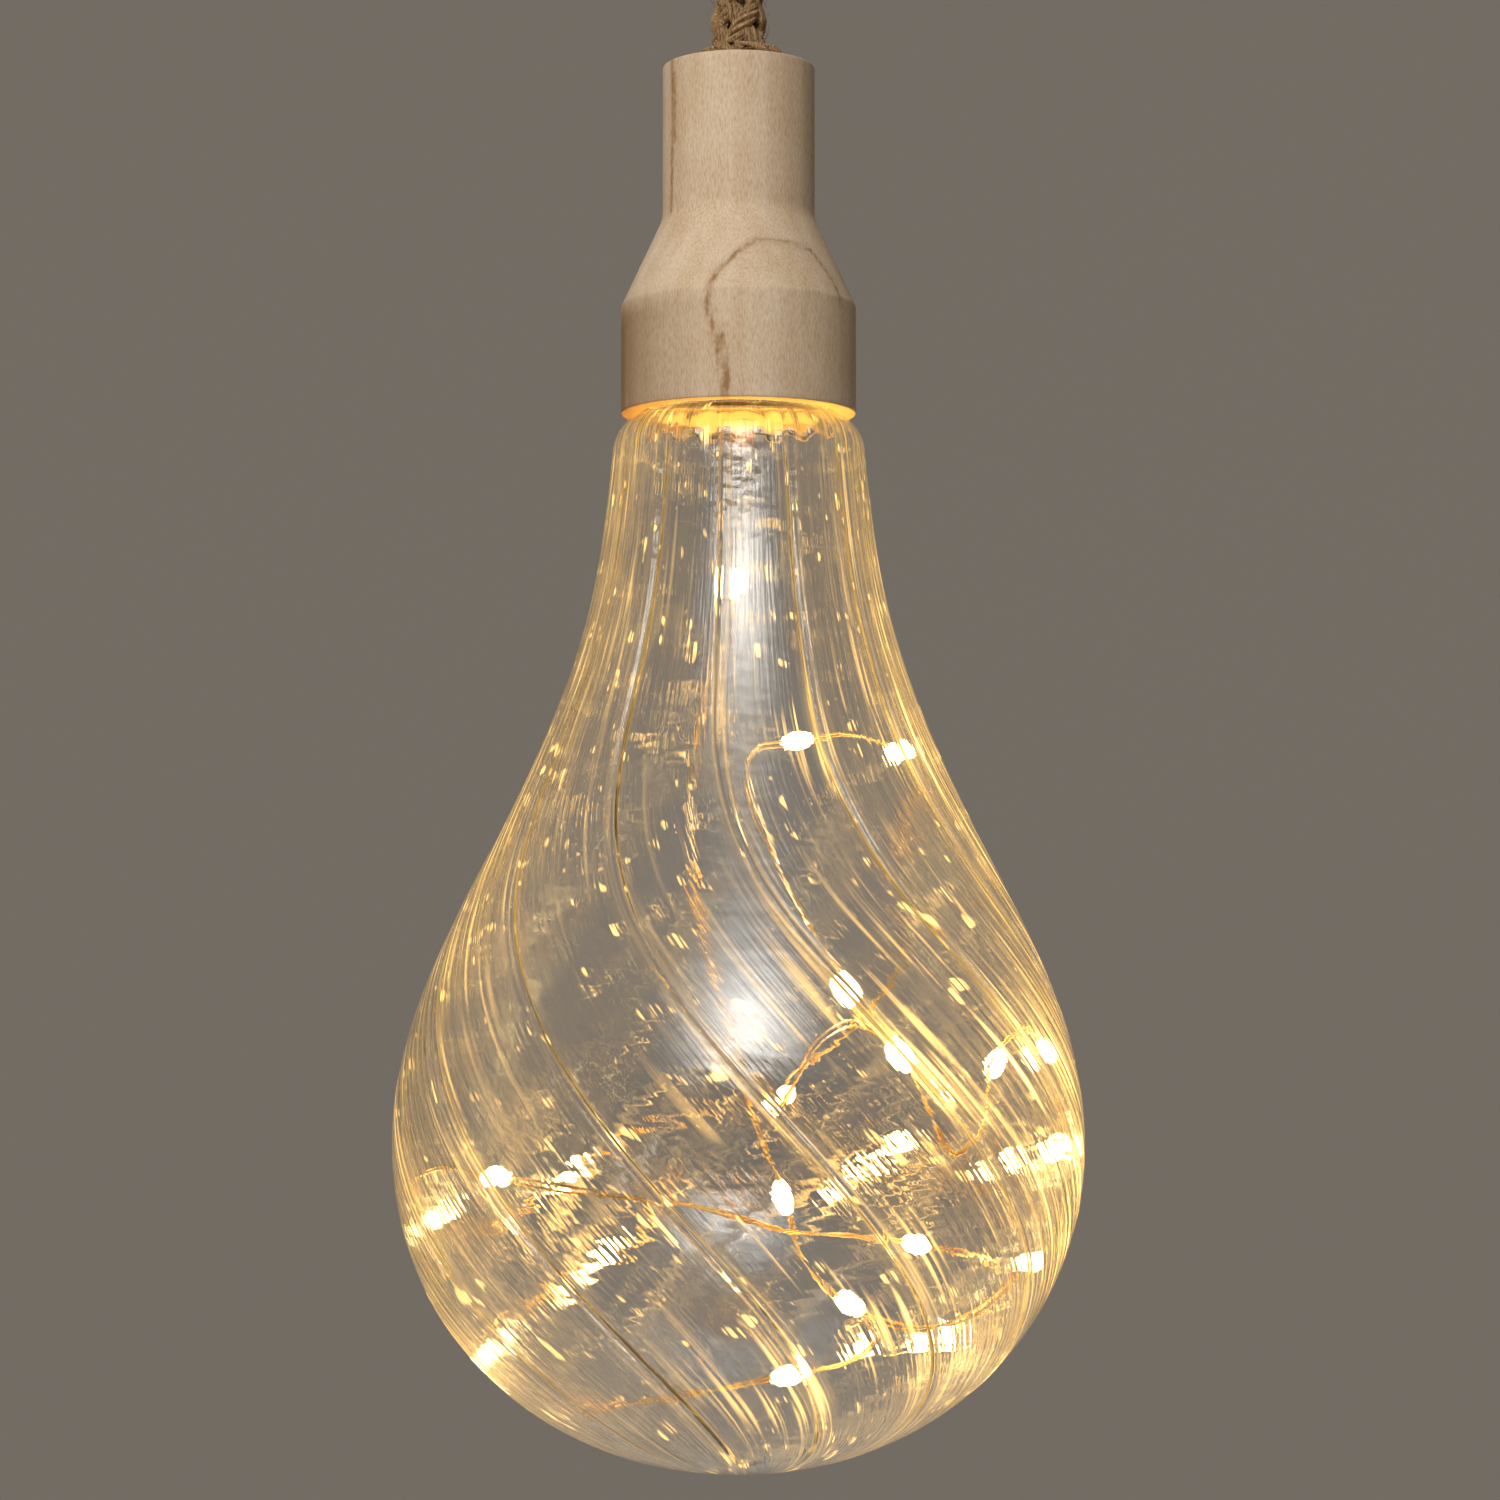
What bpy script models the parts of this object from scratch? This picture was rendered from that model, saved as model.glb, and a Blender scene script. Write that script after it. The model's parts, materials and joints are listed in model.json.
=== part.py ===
"""Rope pendant lamp: a wooden ceiling rose, a short jute rope and a ribbed glass drop
that a string of small lamps on copper wire lights from inside.

Metres, +Z up. The origin is on the ceiling, at the middle of the rose, and the front is -Y.
"""

import math

import bmesh
import bpy
import numpy as np
from mathutils import Matrix, Vector

MM = 0.001
FULL_TURN = 2 * math.pi

# Clearances and small edges
SEAT_GAP = 0.3 * MM          # between pieces that touch
RUNNING_GAP = 0.3 * MM       # between the balls and cups of the swivel
MOUTH_MARGIN = math.radians(2)  # left between the rope and the rim of an opening it swings to
FINE_EDGE = 0.4 * MM         # rounding of a machined or turned edge

# Ceiling rose
ROSE_HEIGHT = 40 * MM
ROSE_WALL = 5 * MM
ROSE_FLOOR = 6 * MM
ROSE_EDGE = 2.5 * MM
FLOOR_CORNER = 1.5 * MM      # inside, where the wall meets the floor

# Ceiling bracket and its screws
STRAP_WIDTH = 18 * MM
STRAP_THICKNESS = 2 * MM
TAB_LENGTH = 14 * MM
SLOT_SPACING = 52 * MM
SLOT_LENGTH = 10 * MM
SLOT_WIDTH = 5 * MM
SCREW_DEPTH = 9 * MM         # below the ceiling
SCREW_DIAMETER = 4 * MM
SCREW_LENGTH = 12 * MM
SCREW_HEAD_DIAMETER = 8 * MM
SCREW_HEAD_HEIGHT = 2.2 * MM

# Driver, terminal block and leads in the rose
FITTING_GAP = 0.6 * MM       # round the driver, between the bush and the wall of the rose
DRIVER_SIZE = (44 * MM, 14 * MM, 14 * MM)
DRIVER_EDGE = 1.2 * MM
TERMINAL_SIZE = (18 * MM, 15 * MM, 13 * MM)
TERMINAL_PITCH = 7.5 * MM
TERMINAL_WELL = 4 * MM
TERMINAL_WELL_DEPTH = 5 * MM
TERMINAL_SCREW_HEIGHT = 2.5 * MM
MAINS_LEAD_DIAMETER = 2.4 * MM
SUPPLY_LEAD_DIAMETER = 3 * MM
LEAD_STRAIGHT = 2 * MM       # of a lead where it enters a fitting

# Rope and its knots
ROPE_DIAMETER = 12.4 * MM
CAP_DROP = 90 * MM           # from the underside of the rose to the top of the cap
ROSE_KNOT_DIAMETER = 30 * MM
ROSE_KNOT_NECK = 18 * MM     # from the knot's middle to the lower end of its neck
COLLAR_DIAMETER = 20.7 * MM
COLLAR_HEIGHT = 1.9 * MM
COLLAR_LIP = 0.6 * MM
CAP_KNOT_DIAMETER = 24.8 * MM
CAP_KNOT_HEIGHT = 19.6 * MM

# Swivel in the floor of the rose
SWING_LIMIT = math.radians(20)
SWIVEL_THICKNESS = 1.6 * MM
SWIVEL_TOP = math.radians(72)   # from straight down
BUSH_TOP = math.radians(80)
BUSH_DIAMETER = 41.4 * MM
BUSH_FLANGE_DIAMETER = 48 * MM
BUSH_FLANGE_THICKNESS = 2 * MM
BUSH_LIP = 1 * MM            # proud of the rose's underside
BUSH_SHOULDER = 4 * MM       # from the lower rim of the ball seat to the bush's foot
BUSH_CROWN_WALL = 3.1 * MM

# Wooden cap
CAP_TOP_DIAMETER = 33.6 * MM
CAP_TOP_HEIGHT = 34 * MM
CAP_CONE_HEIGHT = 19.4 * MM
CAP_SKIRT_DIAMETER = 51.7 * MM
CAP_SKIRT_HEIGHT = 23.7 * MM
CAP_EDGE = 0.8 * MM
CAP_BEND = 2.5 * MM          # softening where a cylinder meets the cone
KNOT_CHAMBER_DIAMETER = 28 * MM
KNOT_CHAMBER_DEPTH = 36 * MM  # of its ceiling, from the top of the cap
SOCKET_DIAMETER = 43 * MM
SOCKET_DEPTH = 19 * MM
KNOT_WASHER_DIAMETER = 26.8 * MM
KNOT_WASHER_THICKNESS = 1.3 * MM

# Neck plug, seal and wire joint
PLUG_FLANGE_THICKNESS = 1.4 * MM
PLUG_LENGTH = 17 * MM        # below its flange, down to the rim of the cap
PLUG_FLOOR = 4 * MM
PLUG_WALL = 4.2 * MM
WIRE_BORE = 2 * MM
SEAL_HEIGHT = 12 * MM
SEAL_RISE = 2.5 * MM         # of its lower edge above the rim of the cap
SEAL_RIB = 0.5 * MM
CAP_LEAD_DIAMETER = 3.4 * MM
SLEEVE_DIAMETER = 5.2 * MM
SLEEVE_LENGTH = 7.2 * MM
SLEEVE_WEB = 0.6 * MM

# Blown glass
GLASS_DIAMETER = 150 * MM
GLASS_DROP = 229.9 * MM      # from the rim of the cap to the lowest point
GLASS_WALL = 2 * MM
GLASS_NECK_DIAMETER = 38 * MM
GLASS_NECK_LENGTH = 17 * MM  # above the rim of the cap
SHOULDER_START = 20.5 * MM   # radius where the shoulder leaves the neck
SHOULDER_WIDTH = 7.2 * MM
SHOULDER_HEIGHT = 9 * MM
WAIST_SLOPE = 0.11
# Outline between shoulder and belly: share of the drop, share of the greatest radius
GLASS_OUTLINE = ((0.161, 0.419), (0.274, 0.519), (0.405, 0.701), (0.539, 0.900))
BELLY_SHARE = 0.691          # of the drop, where the glass is widest
BELLY_FULLNESS = 2.05        # 2 would be an ellipse
RIB_COUNT = 12
OUTER_RIB = 0.3 * MM         # height of a rib on the outside of the wall
INNER_RIB = 0.6 * MM         # and on the inside
RIB_FOOT = math.radians(2.2)  # half the angle that a rib's foot takes
RIB_START = math.radians(24)
RIB_FADE = 5 * MM            # over which the ribs rise below the cap
RIB_POLE = 16 * MM           # radius inside which the ribs run out at the bottom
TWIST_FROM = 0.28            # share of the drop where the ribs start to swirl
TWIST_STEADY = 0.50          # share from which they swirl at a steady rate
TWIST_GAIN = math.radians(370)

# String of small lamps
WIRE_DIAMETER = 1 * MM
WIRE_STEP = 10 * MM
WIRE_LEAD_IN = 5 * MM        # straight stretch below the plug
LED_DIAMETER = 3.4 * MM
LED_LENGTH = 6 * MM
LED_BORE = 1.7 * MM
LED_STRAIGHT = 0.8 * MM      # of wire beyond each end of a lamp
LED_CLEARANCE = 0.7 * MM     # from a lamp to the ribs inside the glass
# Route of the wire from the plug to its end. Each point has its angle from the front in degrees,
# how far down the glass and how far out to its wall it is, in percent, and 1 where a lamp sits.
WIRE_ROUTE = (
    (9, 3, 20, 0), (6, 8, 20, 0), (-1, 13, 23, 0), (-9, 17, 28, 1), (-19, 23, 45, 0),
    (-27, 29, 48, 0), (-33, 36, 44, 0), (-27, 42, 44, 0), (-18, 48, 48, 0), (-6, 55, 60, 0),
    (0, 61, 75, 0), (4, 67, 89, 0), (8, 72, 94, 1), (11, 77, 94, 0), (16, 80, 94, 0),
    (22, 82, 96, 1), (34, 84, 98, 0), (47, 84, 99, 0), (57, 82, 100, 0), (68, 79, 100, 1),
    (98, 77, 100, 0), (124, 75, 99, 0), (142, 74, 98, 0), (158, 75, 98, 1), (174, 76, 98, 0),
    (188, 76, 98, 0), (196, 74, 96, 0), (198, 78, 94, 0), (202, 81, 97, 0), (214, 83, 99, 1),
    (234, 86, 100, 0), (259, 87, 100, 0), (278, 88, 100, 1), (298, 91, 99, 0), (316, 92, 98, 0),
    (347, 90, 98, 0), (371, 88, 98, 1), (384, 87, 98, 0), (391, 85, 92, 0), (396, 84, 72, 0),
    (412, 86, 50, 0), (445, 89, 50, 1), (470, 90, 78, 0), (478, 89, 94, 1), (464, 86, 98, 0),
    (440, 82, 92, 0), (426, 80, 91, 0), (412, 78.5, 94, 0), (402, 77.5, 98, 0), (391, 76.5, 100, 1),
    (379, 75.5, 100, 0), (368, 75, 100, 0), (354, 73, 100, 0), (337, 72, 100, 0), (317, 71, 100, 1),
    (303, 70.5, 100, 0), (290, 71.5, 100, 0), (276, 74, 100, 0), (264, 77, 100, 1), (250, 78.5, 97, 0),
    (236, 78, 94, 0), (226, 76, 93, 0), (217, 74, 96, 1), (200, 70, 98, 0), (178, 67, 98, 0),
    (162, 71, 100, 0), (149, 72, 100, 1), (138, 71, 100, 0), (120, 72.5, 98, 1), (102, 73, 100, 0),
    (86, 70, 100, 1), (78, 65, 100, 0), (72, 60, 100, 1), (62, 58.5, 99, 0), (50, 61, 99, 1),
    (47, 66, 98, 0), (40, 69, 96, 0), (35, 65, 96, 0), (30, 60, 98, 1), (22, 57.5, 98, 0),
    (15, 59, 94, 0), (11, 62.5, 88, 0), (9, 65, 80, 1), (17, 62, 60, 0), (60, 57, 48, 0),
    (105, 50, 66, 0), (122, 43, 88, 0), (108, 36.5, 98, 0), (64, 33, 99, 1), (38, 31.5, 97, 0),
    (22, 32.5, 94, 1), (6, 33, 92, 0), (3, 36.5, 88, 0), (9, 42, 86, 0), (17, 49, 86, 0),
    (24, 55, 86, 1), (28, 58, 86, 0),
)

# Sides of round pieces
CAP_SIDES = 40
ROSE_SIDES = 48
SWIVEL_SIDES = 32
NECK_SIDES = 24
SMALL_SIDES = 16
ARC_STEP = math.radians(14)

# Heights that follow from the sizes, with the ceiling at 0
ROPE_RADIUS = ROPE_DIAMETER / 2
KNOT_RADIUS = ROSE_KNOT_DIAMETER / 2
SWIVEL_INNER = KNOT_RADIUS + RUNNING_GAP
SWIVEL_OUTER = SWIVEL_INNER + SWIVEL_THICKNESS
SEAT_RADIUS = SWIVEL_OUTER + RUNNING_GAP
BOTH_SWINGS = math.acos(math.cos(SWING_LIMIT) ** 2)
SWIVEL_BOTTOM = math.asin(ROPE_RADIUS / SWIVEL_INNER) + SWING_LIMIT + MOUTH_MARGIN
BUSH_BOTTOM = math.asin(ROPE_RADIUS / SEAT_RADIUS) + BOTH_SWINGS + MOUTH_MARGIN
BUSH_FOOT = SEAT_RADIUS * math.cos(BUSH_BOTTOM) + BUSH_SHOULDER
PIVOT_Z = -ROSE_HEIGHT - BUSH_LIP + BUSH_FOOT
CAP_TOP_Z = -ROSE_HEIGHT - CAP_DROP
CAP_RIM_Z = CAP_TOP_Z - CAP_TOP_HEIGHT - CAP_CONE_HEIGHT - CAP_SKIRT_HEIGHT
FLOOR_Z = -ROSE_HEIGHT + ROSE_FLOOR
FITTING_INSET = BUSH_FLANGE_DIAMETER / 2 + FITTING_GAP
ROSE_INNER = math.hypot(DRIVER_SIZE[0] / 2, FITTING_INSET + DRIVER_SIZE[1]) + FITTING_GAP
ROSE_OUTER = ROSE_INNER + ROSE_WALL
TAB_X = math.sqrt(ROSE_INNER ** 2 - (STRAP_WIDTH / 2) ** 2) - SEAT_GAP
SOCKET_Z = CAP_RIM_Z + SOCKET_DEPTH
CHAMBER_Z = CAP_TOP_Z - KNOT_CHAMBER_DEPTH


def clear_scene():
    for item in list(bpy.data.objects):
        bpy.data.objects.remove(item, do_unlink=True)


def finish(name, hex_colour, roughness, metallic=0.0, transmission=0.0):
    """A Principled material from an sRGB colour."""
    values = [int(hex_colour[i:i + 2], 16) / 255 for i in (0, 2, 4)]
    linear = [v / 12.92 if v <= 0.04045 else ((v + 0.055) / 1.055) ** 2.4 for v in values]
    made = bpy.data.materials.new(name)
    made.use_nodes = True
    made.diffuse_color = (*linear, 1)
    shader = made.node_tree.nodes["Principled BSDF"]
    shader.inputs["Base Color"].default_value = (*linear, 1)
    shader.inputs["Roughness"].default_value = roughness
    shader.inputs["Metallic"].default_value = metallic
    shader.inputs["Transmission Weight"].default_value = transmission
    return made


def add_object(name, data, parent=None, place=(0, 0, 0)):
    """An object at a place given from the ceiling, held by its parent if it has one."""
    made = bpy.data.objects.new(name, data)
    bpy.context.scene.collection.objects.link(made)
    made.location = Vector(place)
    if parent:
        made.parent = parent
        made.location -= parent.location
    return made


def mesh_object(name, bm, material, parent=None, place=(0, 0, 0), sharp=math.radians(35)):
    bmesh.ops.recalc_face_normals(bm, faces=bm.faces)
    mesh = bpy.data.meshes.new(name)
    bm.to_mesh(mesh)
    bm.free()
    mesh.shade_smooth()
    mesh.set_sharp_from_angle(angle=sharp)
    mesh.materials.append(material)
    return add_object(name, mesh, parent, place)


def spin_outline(bm, outline, sides):
    """Turn a closed outline of (radius, height) points about Z."""
    ring = [bm.verts.new((radius, 0, height)) for radius, height in outline]
    edges = [bm.edges.new((ring[i - 1], ring[i])) for i in range(len(ring))]
    axis_points = [v for v in ring if v.co.x < 1e-9]
    if len(axis_points) > 1:
        bm.edges.remove(next(e for e in edges if all(v.co.x < 1e-9 for v in e.verts)))
    edges = list(bm.edges)
    bmesh.ops.spin(bm, geom=ring + edges, axis=(0, 0, 1), cent=(0, 0, 0),
                   steps=sides, angle=FULL_TURN, use_merge=True)
    bmesh.ops.remove_doubles(bm, verts=bm.verts, dist=1e-7)


def turned(name, outline, material, parent=None, place=(0, 0, 0), sides=SWIVEL_SIDES):
    bm = bmesh.new()
    spin_outline(bm, outline, sides)
    return mesh_object(name, bm, material, parent, place)


def arc(centre, radius, start, end, step=ARC_STEP):
    """Points round a centre; the angle is 0 straight down and grows outwards."""
    count = max(2, math.ceil(abs(end - start) / step))
    angles = [start + (end - start) * i / count for i in range(count + 1)]
    return [(centre[0] + radius * math.sin(a), centre[1] - radius * math.cos(a)) for a in angles]


def rounded(corners, steps=2):
    """An outline whose corners are softened: each corner is (radius, height, softening)."""
    outline = []
    for i, (x, z, soft) in enumerate(corners):
        here = Vector((x, z))
        before = Vector(corners[i - 1][:2])
        after = Vector(corners[(i + 1) % len(corners)][:2])
        if soft == 0:
            outline.append((x, z))
            continue
        inward = (before - here).normalized()
        onward = (after - here).normalized()
        half = inward.angle(onward) / 2
        reach = soft / math.tan(half)
        centre = here + (inward + onward).normalized() * soft / math.sin(half)
        first = here + inward * reach - centre
        last = here + onward * reach - centre
        turn = first.angle_signed(last)
        for k in range(steps + 1):
            point = centre + Matrix.Rotation(-turn * k / steps, 2) @ first
            outline.append((max(point.x, 0), point.y))
    return outline


def box(bm, low, high):
    made = bmesh.ops.create_cube(bm, size=1)["verts"]
    size = Vector(high) - Vector(low)
    middle = (Vector(high) + Vector(low)) / 2
    bmesh.ops.transform(bm, matrix=Matrix.Translation(middle) @ Matrix.Diagonal((*size, 1)), verts=made)
    return made


def rod(bm, start, end, radius, sides=SMALL_SIDES, end_radius=None):
    """A straight round bar or cone between two points."""
    start, end = Vector(start), Vector(end)
    along = end - start
    turn = along.to_track_quat("Z", "Y").to_matrix().to_4x4()
    middle = Matrix.Translation((start + end) / 2) @ turn
    bmesh.ops.create_cone(bm, cap_ends=True, segments=sides, radius1=radius,
                          radius2=radius if end_radius is None else end_radius,
                          depth=along.length, matrix=middle)


def cut(target, name, shape):
    """Take a shape out of an object with an exact Boolean; the cutter stays as a guide."""
    mesh = bpy.data.meshes.new(name)
    bmesh.ops.recalc_face_normals(shape, faces=shape.faces)
    shape.to_mesh(mesh)
    shape.free()
    cutter = add_object(name, mesh)
    cutter.hide_render = True
    cutter.display_type = "WIRE"
    modifier = target.modifiers.new(name, "BOOLEAN")
    modifier.operation = "DIFFERENCE"
    modifier.solver = "EXACT"
    modifier.object = cutter


def smooth_route(points, step):
    """Points on a smooth curve through the given ones; the first and last stretches stay straight."""
    knots = [Vector(p) for p in points]
    fine = []
    per_span = 12
    for i in range(1, len(knots) - 2):
        a, b, c, d = knots[i - 1:i + 3]
        for k in range(per_span):
            t = k / per_span
            fine.append(0.5 * ((2 * b) + (c - a) * t + (2 * a - 5 * b + 4 * c - d) * t * t
                               + (3 * b - a - 3 * c + d) * t ** 3))
    fine.append(knots[-2])
    lengths = np.cumsum([0] + [(fine[i + 1] - fine[i]).length for i in range(len(fine) - 1)])
    count = max(1, round(lengths[-1] / step))
    stops = np.linspace(0, lengths[-1], count + 1)
    axes = [np.interp(stops, lengths, [p[axis] for p in fine]) for axis in range(3)]
    return [knots[0], *[Vector(p) for p in zip(*axes)], knots[-1]]


def tube(name, route, diameter, material, parent=None, resolution=2):
    """A round tube along points given from the ceiling."""
    data = bpy.data.curves.new(name, "CURVE")
    data.dimensions = "3D"
    data.bevel_depth = diameter / 2
    data.bevel_resolution = resolution
    data.use_fill_caps = True
    data.materials.append(material)
    spline = data.splines.new("POLY")
    spline.points.add(len(route) - 1)
    for point, place in zip(spline.points, route):
        shifted = Vector(place) - (parent.location if parent else Vector())
        point.co = (*shifted, 1)
    return add_object(name, data, parent, parent.location if parent else (0, 0, 0))


# Ceiling rose

def make_rose_cup():
    hole = BUSH_DIAMETER / 2 + SEAT_GAP
    outline = rounded([
        (ROSE_INNER, 0, 0), (ROSE_OUTER, 0, FINE_EDGE),
        (ROSE_OUTER, -ROSE_HEIGHT, ROSE_EDGE), (hole, -ROSE_HEIGHT, 0),
        (hole, FLOOR_Z, 0), (ROSE_INNER, FLOOR_Z, FLOOR_CORNER),
    ])
    cup = turned("rose_cup", outline, PALE_WOOD, sides=ROSE_SIDES)
    holes = bmesh.new()
    radius = SCREW_DIAMETER / 2 + SEAT_GAP
    for side in (-1, 1):
        rod(holes, (side * (ROSE_INNER - ROSE_WALL), 0, -SCREW_DEPTH),
            (side * (ROSE_OUTER + ROSE_WALL), 0, -SCREW_DEPTH), radius)
    cut(cup, "cup_screw_holes", holes)


def make_bracket():
    bm = bmesh.new()
    half = STRAP_WIDTH / 2
    corners = [(-TAB_X, 0), (TAB_X, 0), (TAB_X, -TAB_LENGTH), (TAB_X - STRAP_THICKNESS, -TAB_LENGTH),
               (TAB_X - STRAP_THICKNESS, -STRAP_THICKNESS), (STRAP_THICKNESS - TAB_X, -STRAP_THICKNESS),
               (STRAP_THICKNESS - TAB_X, -TAB_LENGTH), (-TAB_X, -TAB_LENGTH)]
    face = bm.faces.new([bm.verts.new((x, -half, z)) for x, z in corners])
    moved = bmesh.ops.extrude_face_region(bm, geom=[face])["geom"]
    bmesh.ops.translate(bm, vec=(0, STRAP_WIDTH, 0),
                        verts=[v for v in moved if isinstance(v, bmesh.types.BMVert)])
    bracket = mesh_object("ceiling_bracket", bm, ZINCED_STEEL)
    openings = bmesh.new()
    reach = STRAP_THICKNESS
    for side in (-1, 1):
        x = side * SLOT_SPACING / 2
        straight = (SLOT_LENGTH - SLOT_WIDTH) / 2
        outline = []
        for k in range(SMALL_SIDES):
            angle = FULL_TURN * k / SMALL_SIDES
            shift = straight if math.cos(angle) > 0 else -straight
            outline.append(openings.verts.new((x + shift + SLOT_WIDTH / 2 * math.cos(angle),
                                               SLOT_WIDTH / 2 * math.sin(angle), -2 * reach)))
        slot = openings.faces.new(outline)
        moved = bmesh.ops.extrude_face_region(openings, geom=[slot])["geom"]
        bmesh.ops.translate(openings, vec=(0, 0, 3 * reach),
                            verts=[v for v in moved if isinstance(v, bmesh.types.BMVert)])
        rod(openings, (side * (TAB_X - 2 * reach), 0, -SCREW_DEPTH),
            (side * (TAB_X + reach), 0, -SCREW_DEPTH), SCREW_DIAMETER / 2 + SEAT_GAP)
    cut(bracket, "bracket_holes", openings)


def make_cup_screws():
    """Two pan head screws that hold the cup to the bracket's tabs."""
    seat = ROSE_OUTER + SEAT_GAP
    shank = SCREW_DIAMETER / 2
    head = SCREW_HEAD_DIAMETER / 2
    outline = [(0, -SCREW_LENGTH), (shank, -SCREW_LENGTH), (shank, 0), (head, 0),
               (head, SCREW_HEAD_HEIGHT * 0.45), (head * 0.72, SCREW_HEAD_HEIGHT * 0.88),
               (0, SCREW_HEAD_HEIGHT)]
    for name, side in (("cup_screw_left", -1), ("cup_screw_right", 1)):
        screw = turned(name, outline, ZINCED_STEEL, place=(side * seat, 0, -SCREW_DEPTH), sides=SMALL_SIDES)
        screw.rotation_euler.y = side * math.pi / 2


def make_seat_bush():
    """Turned ring in the rose's floor, with a hollow ball seat above and a flared mouth below."""
    foot_z = PIVOT_Z - BUSH_FOOT
    mouth = (SEAT_RADIUS * math.sin(BUSH_BOTTOM)
             + BUSH_SHOULDER * math.tan(BOTH_SWINGS + MOUTH_MARGIN))
    body = BUSH_DIAMETER / 2
    flange = BUSH_FLANGE_DIAMETER / 2
    flange_low = FLOOR_Z + SEAT_GAP
    flange_high = flange_low + BUSH_FLANGE_THICKNESS
    crown_z = PIVOT_Z - SEAT_RADIUS * math.cos(BUSH_TOP)
    crown = SEAT_RADIUS * math.sin(BUSH_TOP) + BUSH_CROWN_WALL
    seat = arc((0, PIVOT_Z), SEAT_RADIUS, BUSH_TOP, BUSH_BOTTOM)
    outline = rounded([
        (mouth, foot_z, 0), (body, foot_z, FINE_EDGE), (body, flange_low, 0), (flange, flange_low, 0),
        (flange, flange_high, FINE_EDGE), (crown, flange_high, 0), (crown, crown_z, FINE_EDGE),
    ]) + seat
    turned("seat_bush", outline, SATIN_BRASS)


def make_driver():
    bm = bmesh.new()
    length, depth, height = DRIVER_SIZE
    low = (-length / 2, FITTING_INSET, FLOOR_Z + SEAT_GAP)
    box(bm, low, (length / 2, FITTING_INSET + depth, low[2] + height))
    driver = mesh_object("led_driver", bm, WHITE_PLASTIC)
    edge = driver.modifiers.new("soft_edges", "BEVEL")
    edge.width = DRIVER_EDGE
    edge.segments = 2


def terminal_places():
    """Middle of each pole of the terminal block, across it from front to back."""
    middle = -FITTING_INSET - TERMINAL_SIZE[1] / 2
    return [(0, middle + side * TERMINAL_PITCH / 2) for side in (-1, 1)]


def make_terminal_block():
    bm = bmesh.new()
    length, depth, height = TERMINAL_SIZE
    low_z = FLOOR_Z + SEAT_GAP
    top_z = low_z + height
    box(bm, (-length / 2, -FITTING_INSET - depth, low_z), (length / 2, -FITTING_INSET, top_z))
    block = mesh_object("terminal_block", bm, WHITE_PLASTIC)
    edge = block.modifiers.new("soft_edges", "BEVEL")
    edge.width = DRIVER_EDGE / 2
    edge.segments = 1
    wells = bmesh.new()
    for x, y in terminal_places():
        for side in (-1, 1):
            well_x = x + side * length / 4
            rod(wells, (well_x, y, top_z - TERMINAL_WELL_DEPTH), (well_x, y, top_z + TERMINAL_WELL),
                TERMINAL_WELL / 2, sides=12)
    cut(block, "terminal_wells", wells)
    foot = top_z - TERMINAL_WELL_DEPTH + SEAT_GAP
    places = [(x + side * length / 4, y) for x, y in terminal_places() for side in (-1, 1)]
    for number, (x, y) in enumerate(places, start=1):
        screw = bmesh.new()
        rod(screw, (x, y, foot), (x, y, foot + TERMINAL_SCREW_HEIGHT), TERMINAL_WELL / 2 - SEAT_GAP, sides=12)
        mesh_object(f"terminal_screw_{number}", screw, SATIN_BRASS)


def beside_bush(angle, share, height):
    """A point round the bush: angle in degrees from the front to the left, share of the way to the wall."""
    turn = math.radians(angle)
    radius = BUSH_FLANGE_DIAMETER / 2 + share * (ROSE_INNER - BUSH_FLANGE_DIAMETER / 2)
    return (-radius * math.sin(turn), -radius * math.cos(turn), height)


def make_leads():
    """Two mains leads from the terminal block to the driver, and the lead down to the rope."""
    block_x = -TERMINAL_SIZE[0] / 2 - SEAT_GAP
    driver_x = DRIVER_SIZE[0] / 2 + SEAT_GAP
    lie = FLOOR_Z + MAINS_LEAD_DIAMETER / 2 + SEAT_GAP
    lift = MAINS_LEAD_DIAMETER / 2
    straight = LEAD_STRAIGHT
    entry = FLOOR_Z + DRIVER_SIZE[2] / 2
    near_y, far_y = [y for x, y in reversed(terminal_places())]
    driver_near = FITTING_INSET + DRIVER_SIZE[1] * 0.22
    driver_far = FITTING_INSET + DRIVER_SIZE[1] * 0.55
    inner = [(block_x, near_y, entry), (block_x - straight, near_y, entry),
             beside_bush(52, 0.31, lie + lift), beside_bush(79, 0.31, lie), beside_bush(103, 0.37, lie),
             beside_bush(119, 0.50, lie + 2 * lift), beside_bush(131, 0.63, entry - lift),
             (-driver_x - straight, driver_near, entry), (-driver_x, driver_near, entry)]
    outer = [(block_x, far_y, entry), (block_x - straight, far_y, entry),
             beside_bush(49, 0.68, lie + lift), beside_bush(76, 0.67, lie), beside_bush(97, 0.70, lie),
             beside_bush(113, 0.78, lie), beside_bush(131, 0.84, entry - 2 * lift),
             (-driver_x - straight, driver_far, entry), (-driver_x, driver_far, entry)]
    for name, route in (("mains_lead_neutral", inner), ("mains_lead_live", outer)):
        tube(name, smooth_route(route, 2.5 * MAINS_LEAD_DIAMETER), MAINS_LEAD_DIAMETER, WHITE_PLASTIC)
    top = PIVOT_Z + KNOT_RADIUS + SEAT_GAP
    middle_y = FITTING_INSET + DRIVER_SIZE[1] / 2
    rise = top - entry
    route = [(driver_x, middle_y, entry), (driver_x + straight, middle_y, entry),
             beside_bush(-121, 0.69, entry + 0.25 * rise), beside_bush(-103, 0.32, entry + 0.68 * rise),
             (1.33 * KNOT_RADIUS, 0, entry + 1.12 * rise), (0.60 * KNOT_RADIUS, 0, entry + 1.34 * rise),
             (0.17 * KNOT_RADIUS, 0, entry + 1.29 * rise), (0, 0, top + straight), (0, 0, top)]
    tube("supply_lead", smooth_route(route, 1.5 * SUPPLY_LEAD_DIAMETER), SUPPLY_LEAD_DIAMETER, WHITE_PLASTIC)


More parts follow.
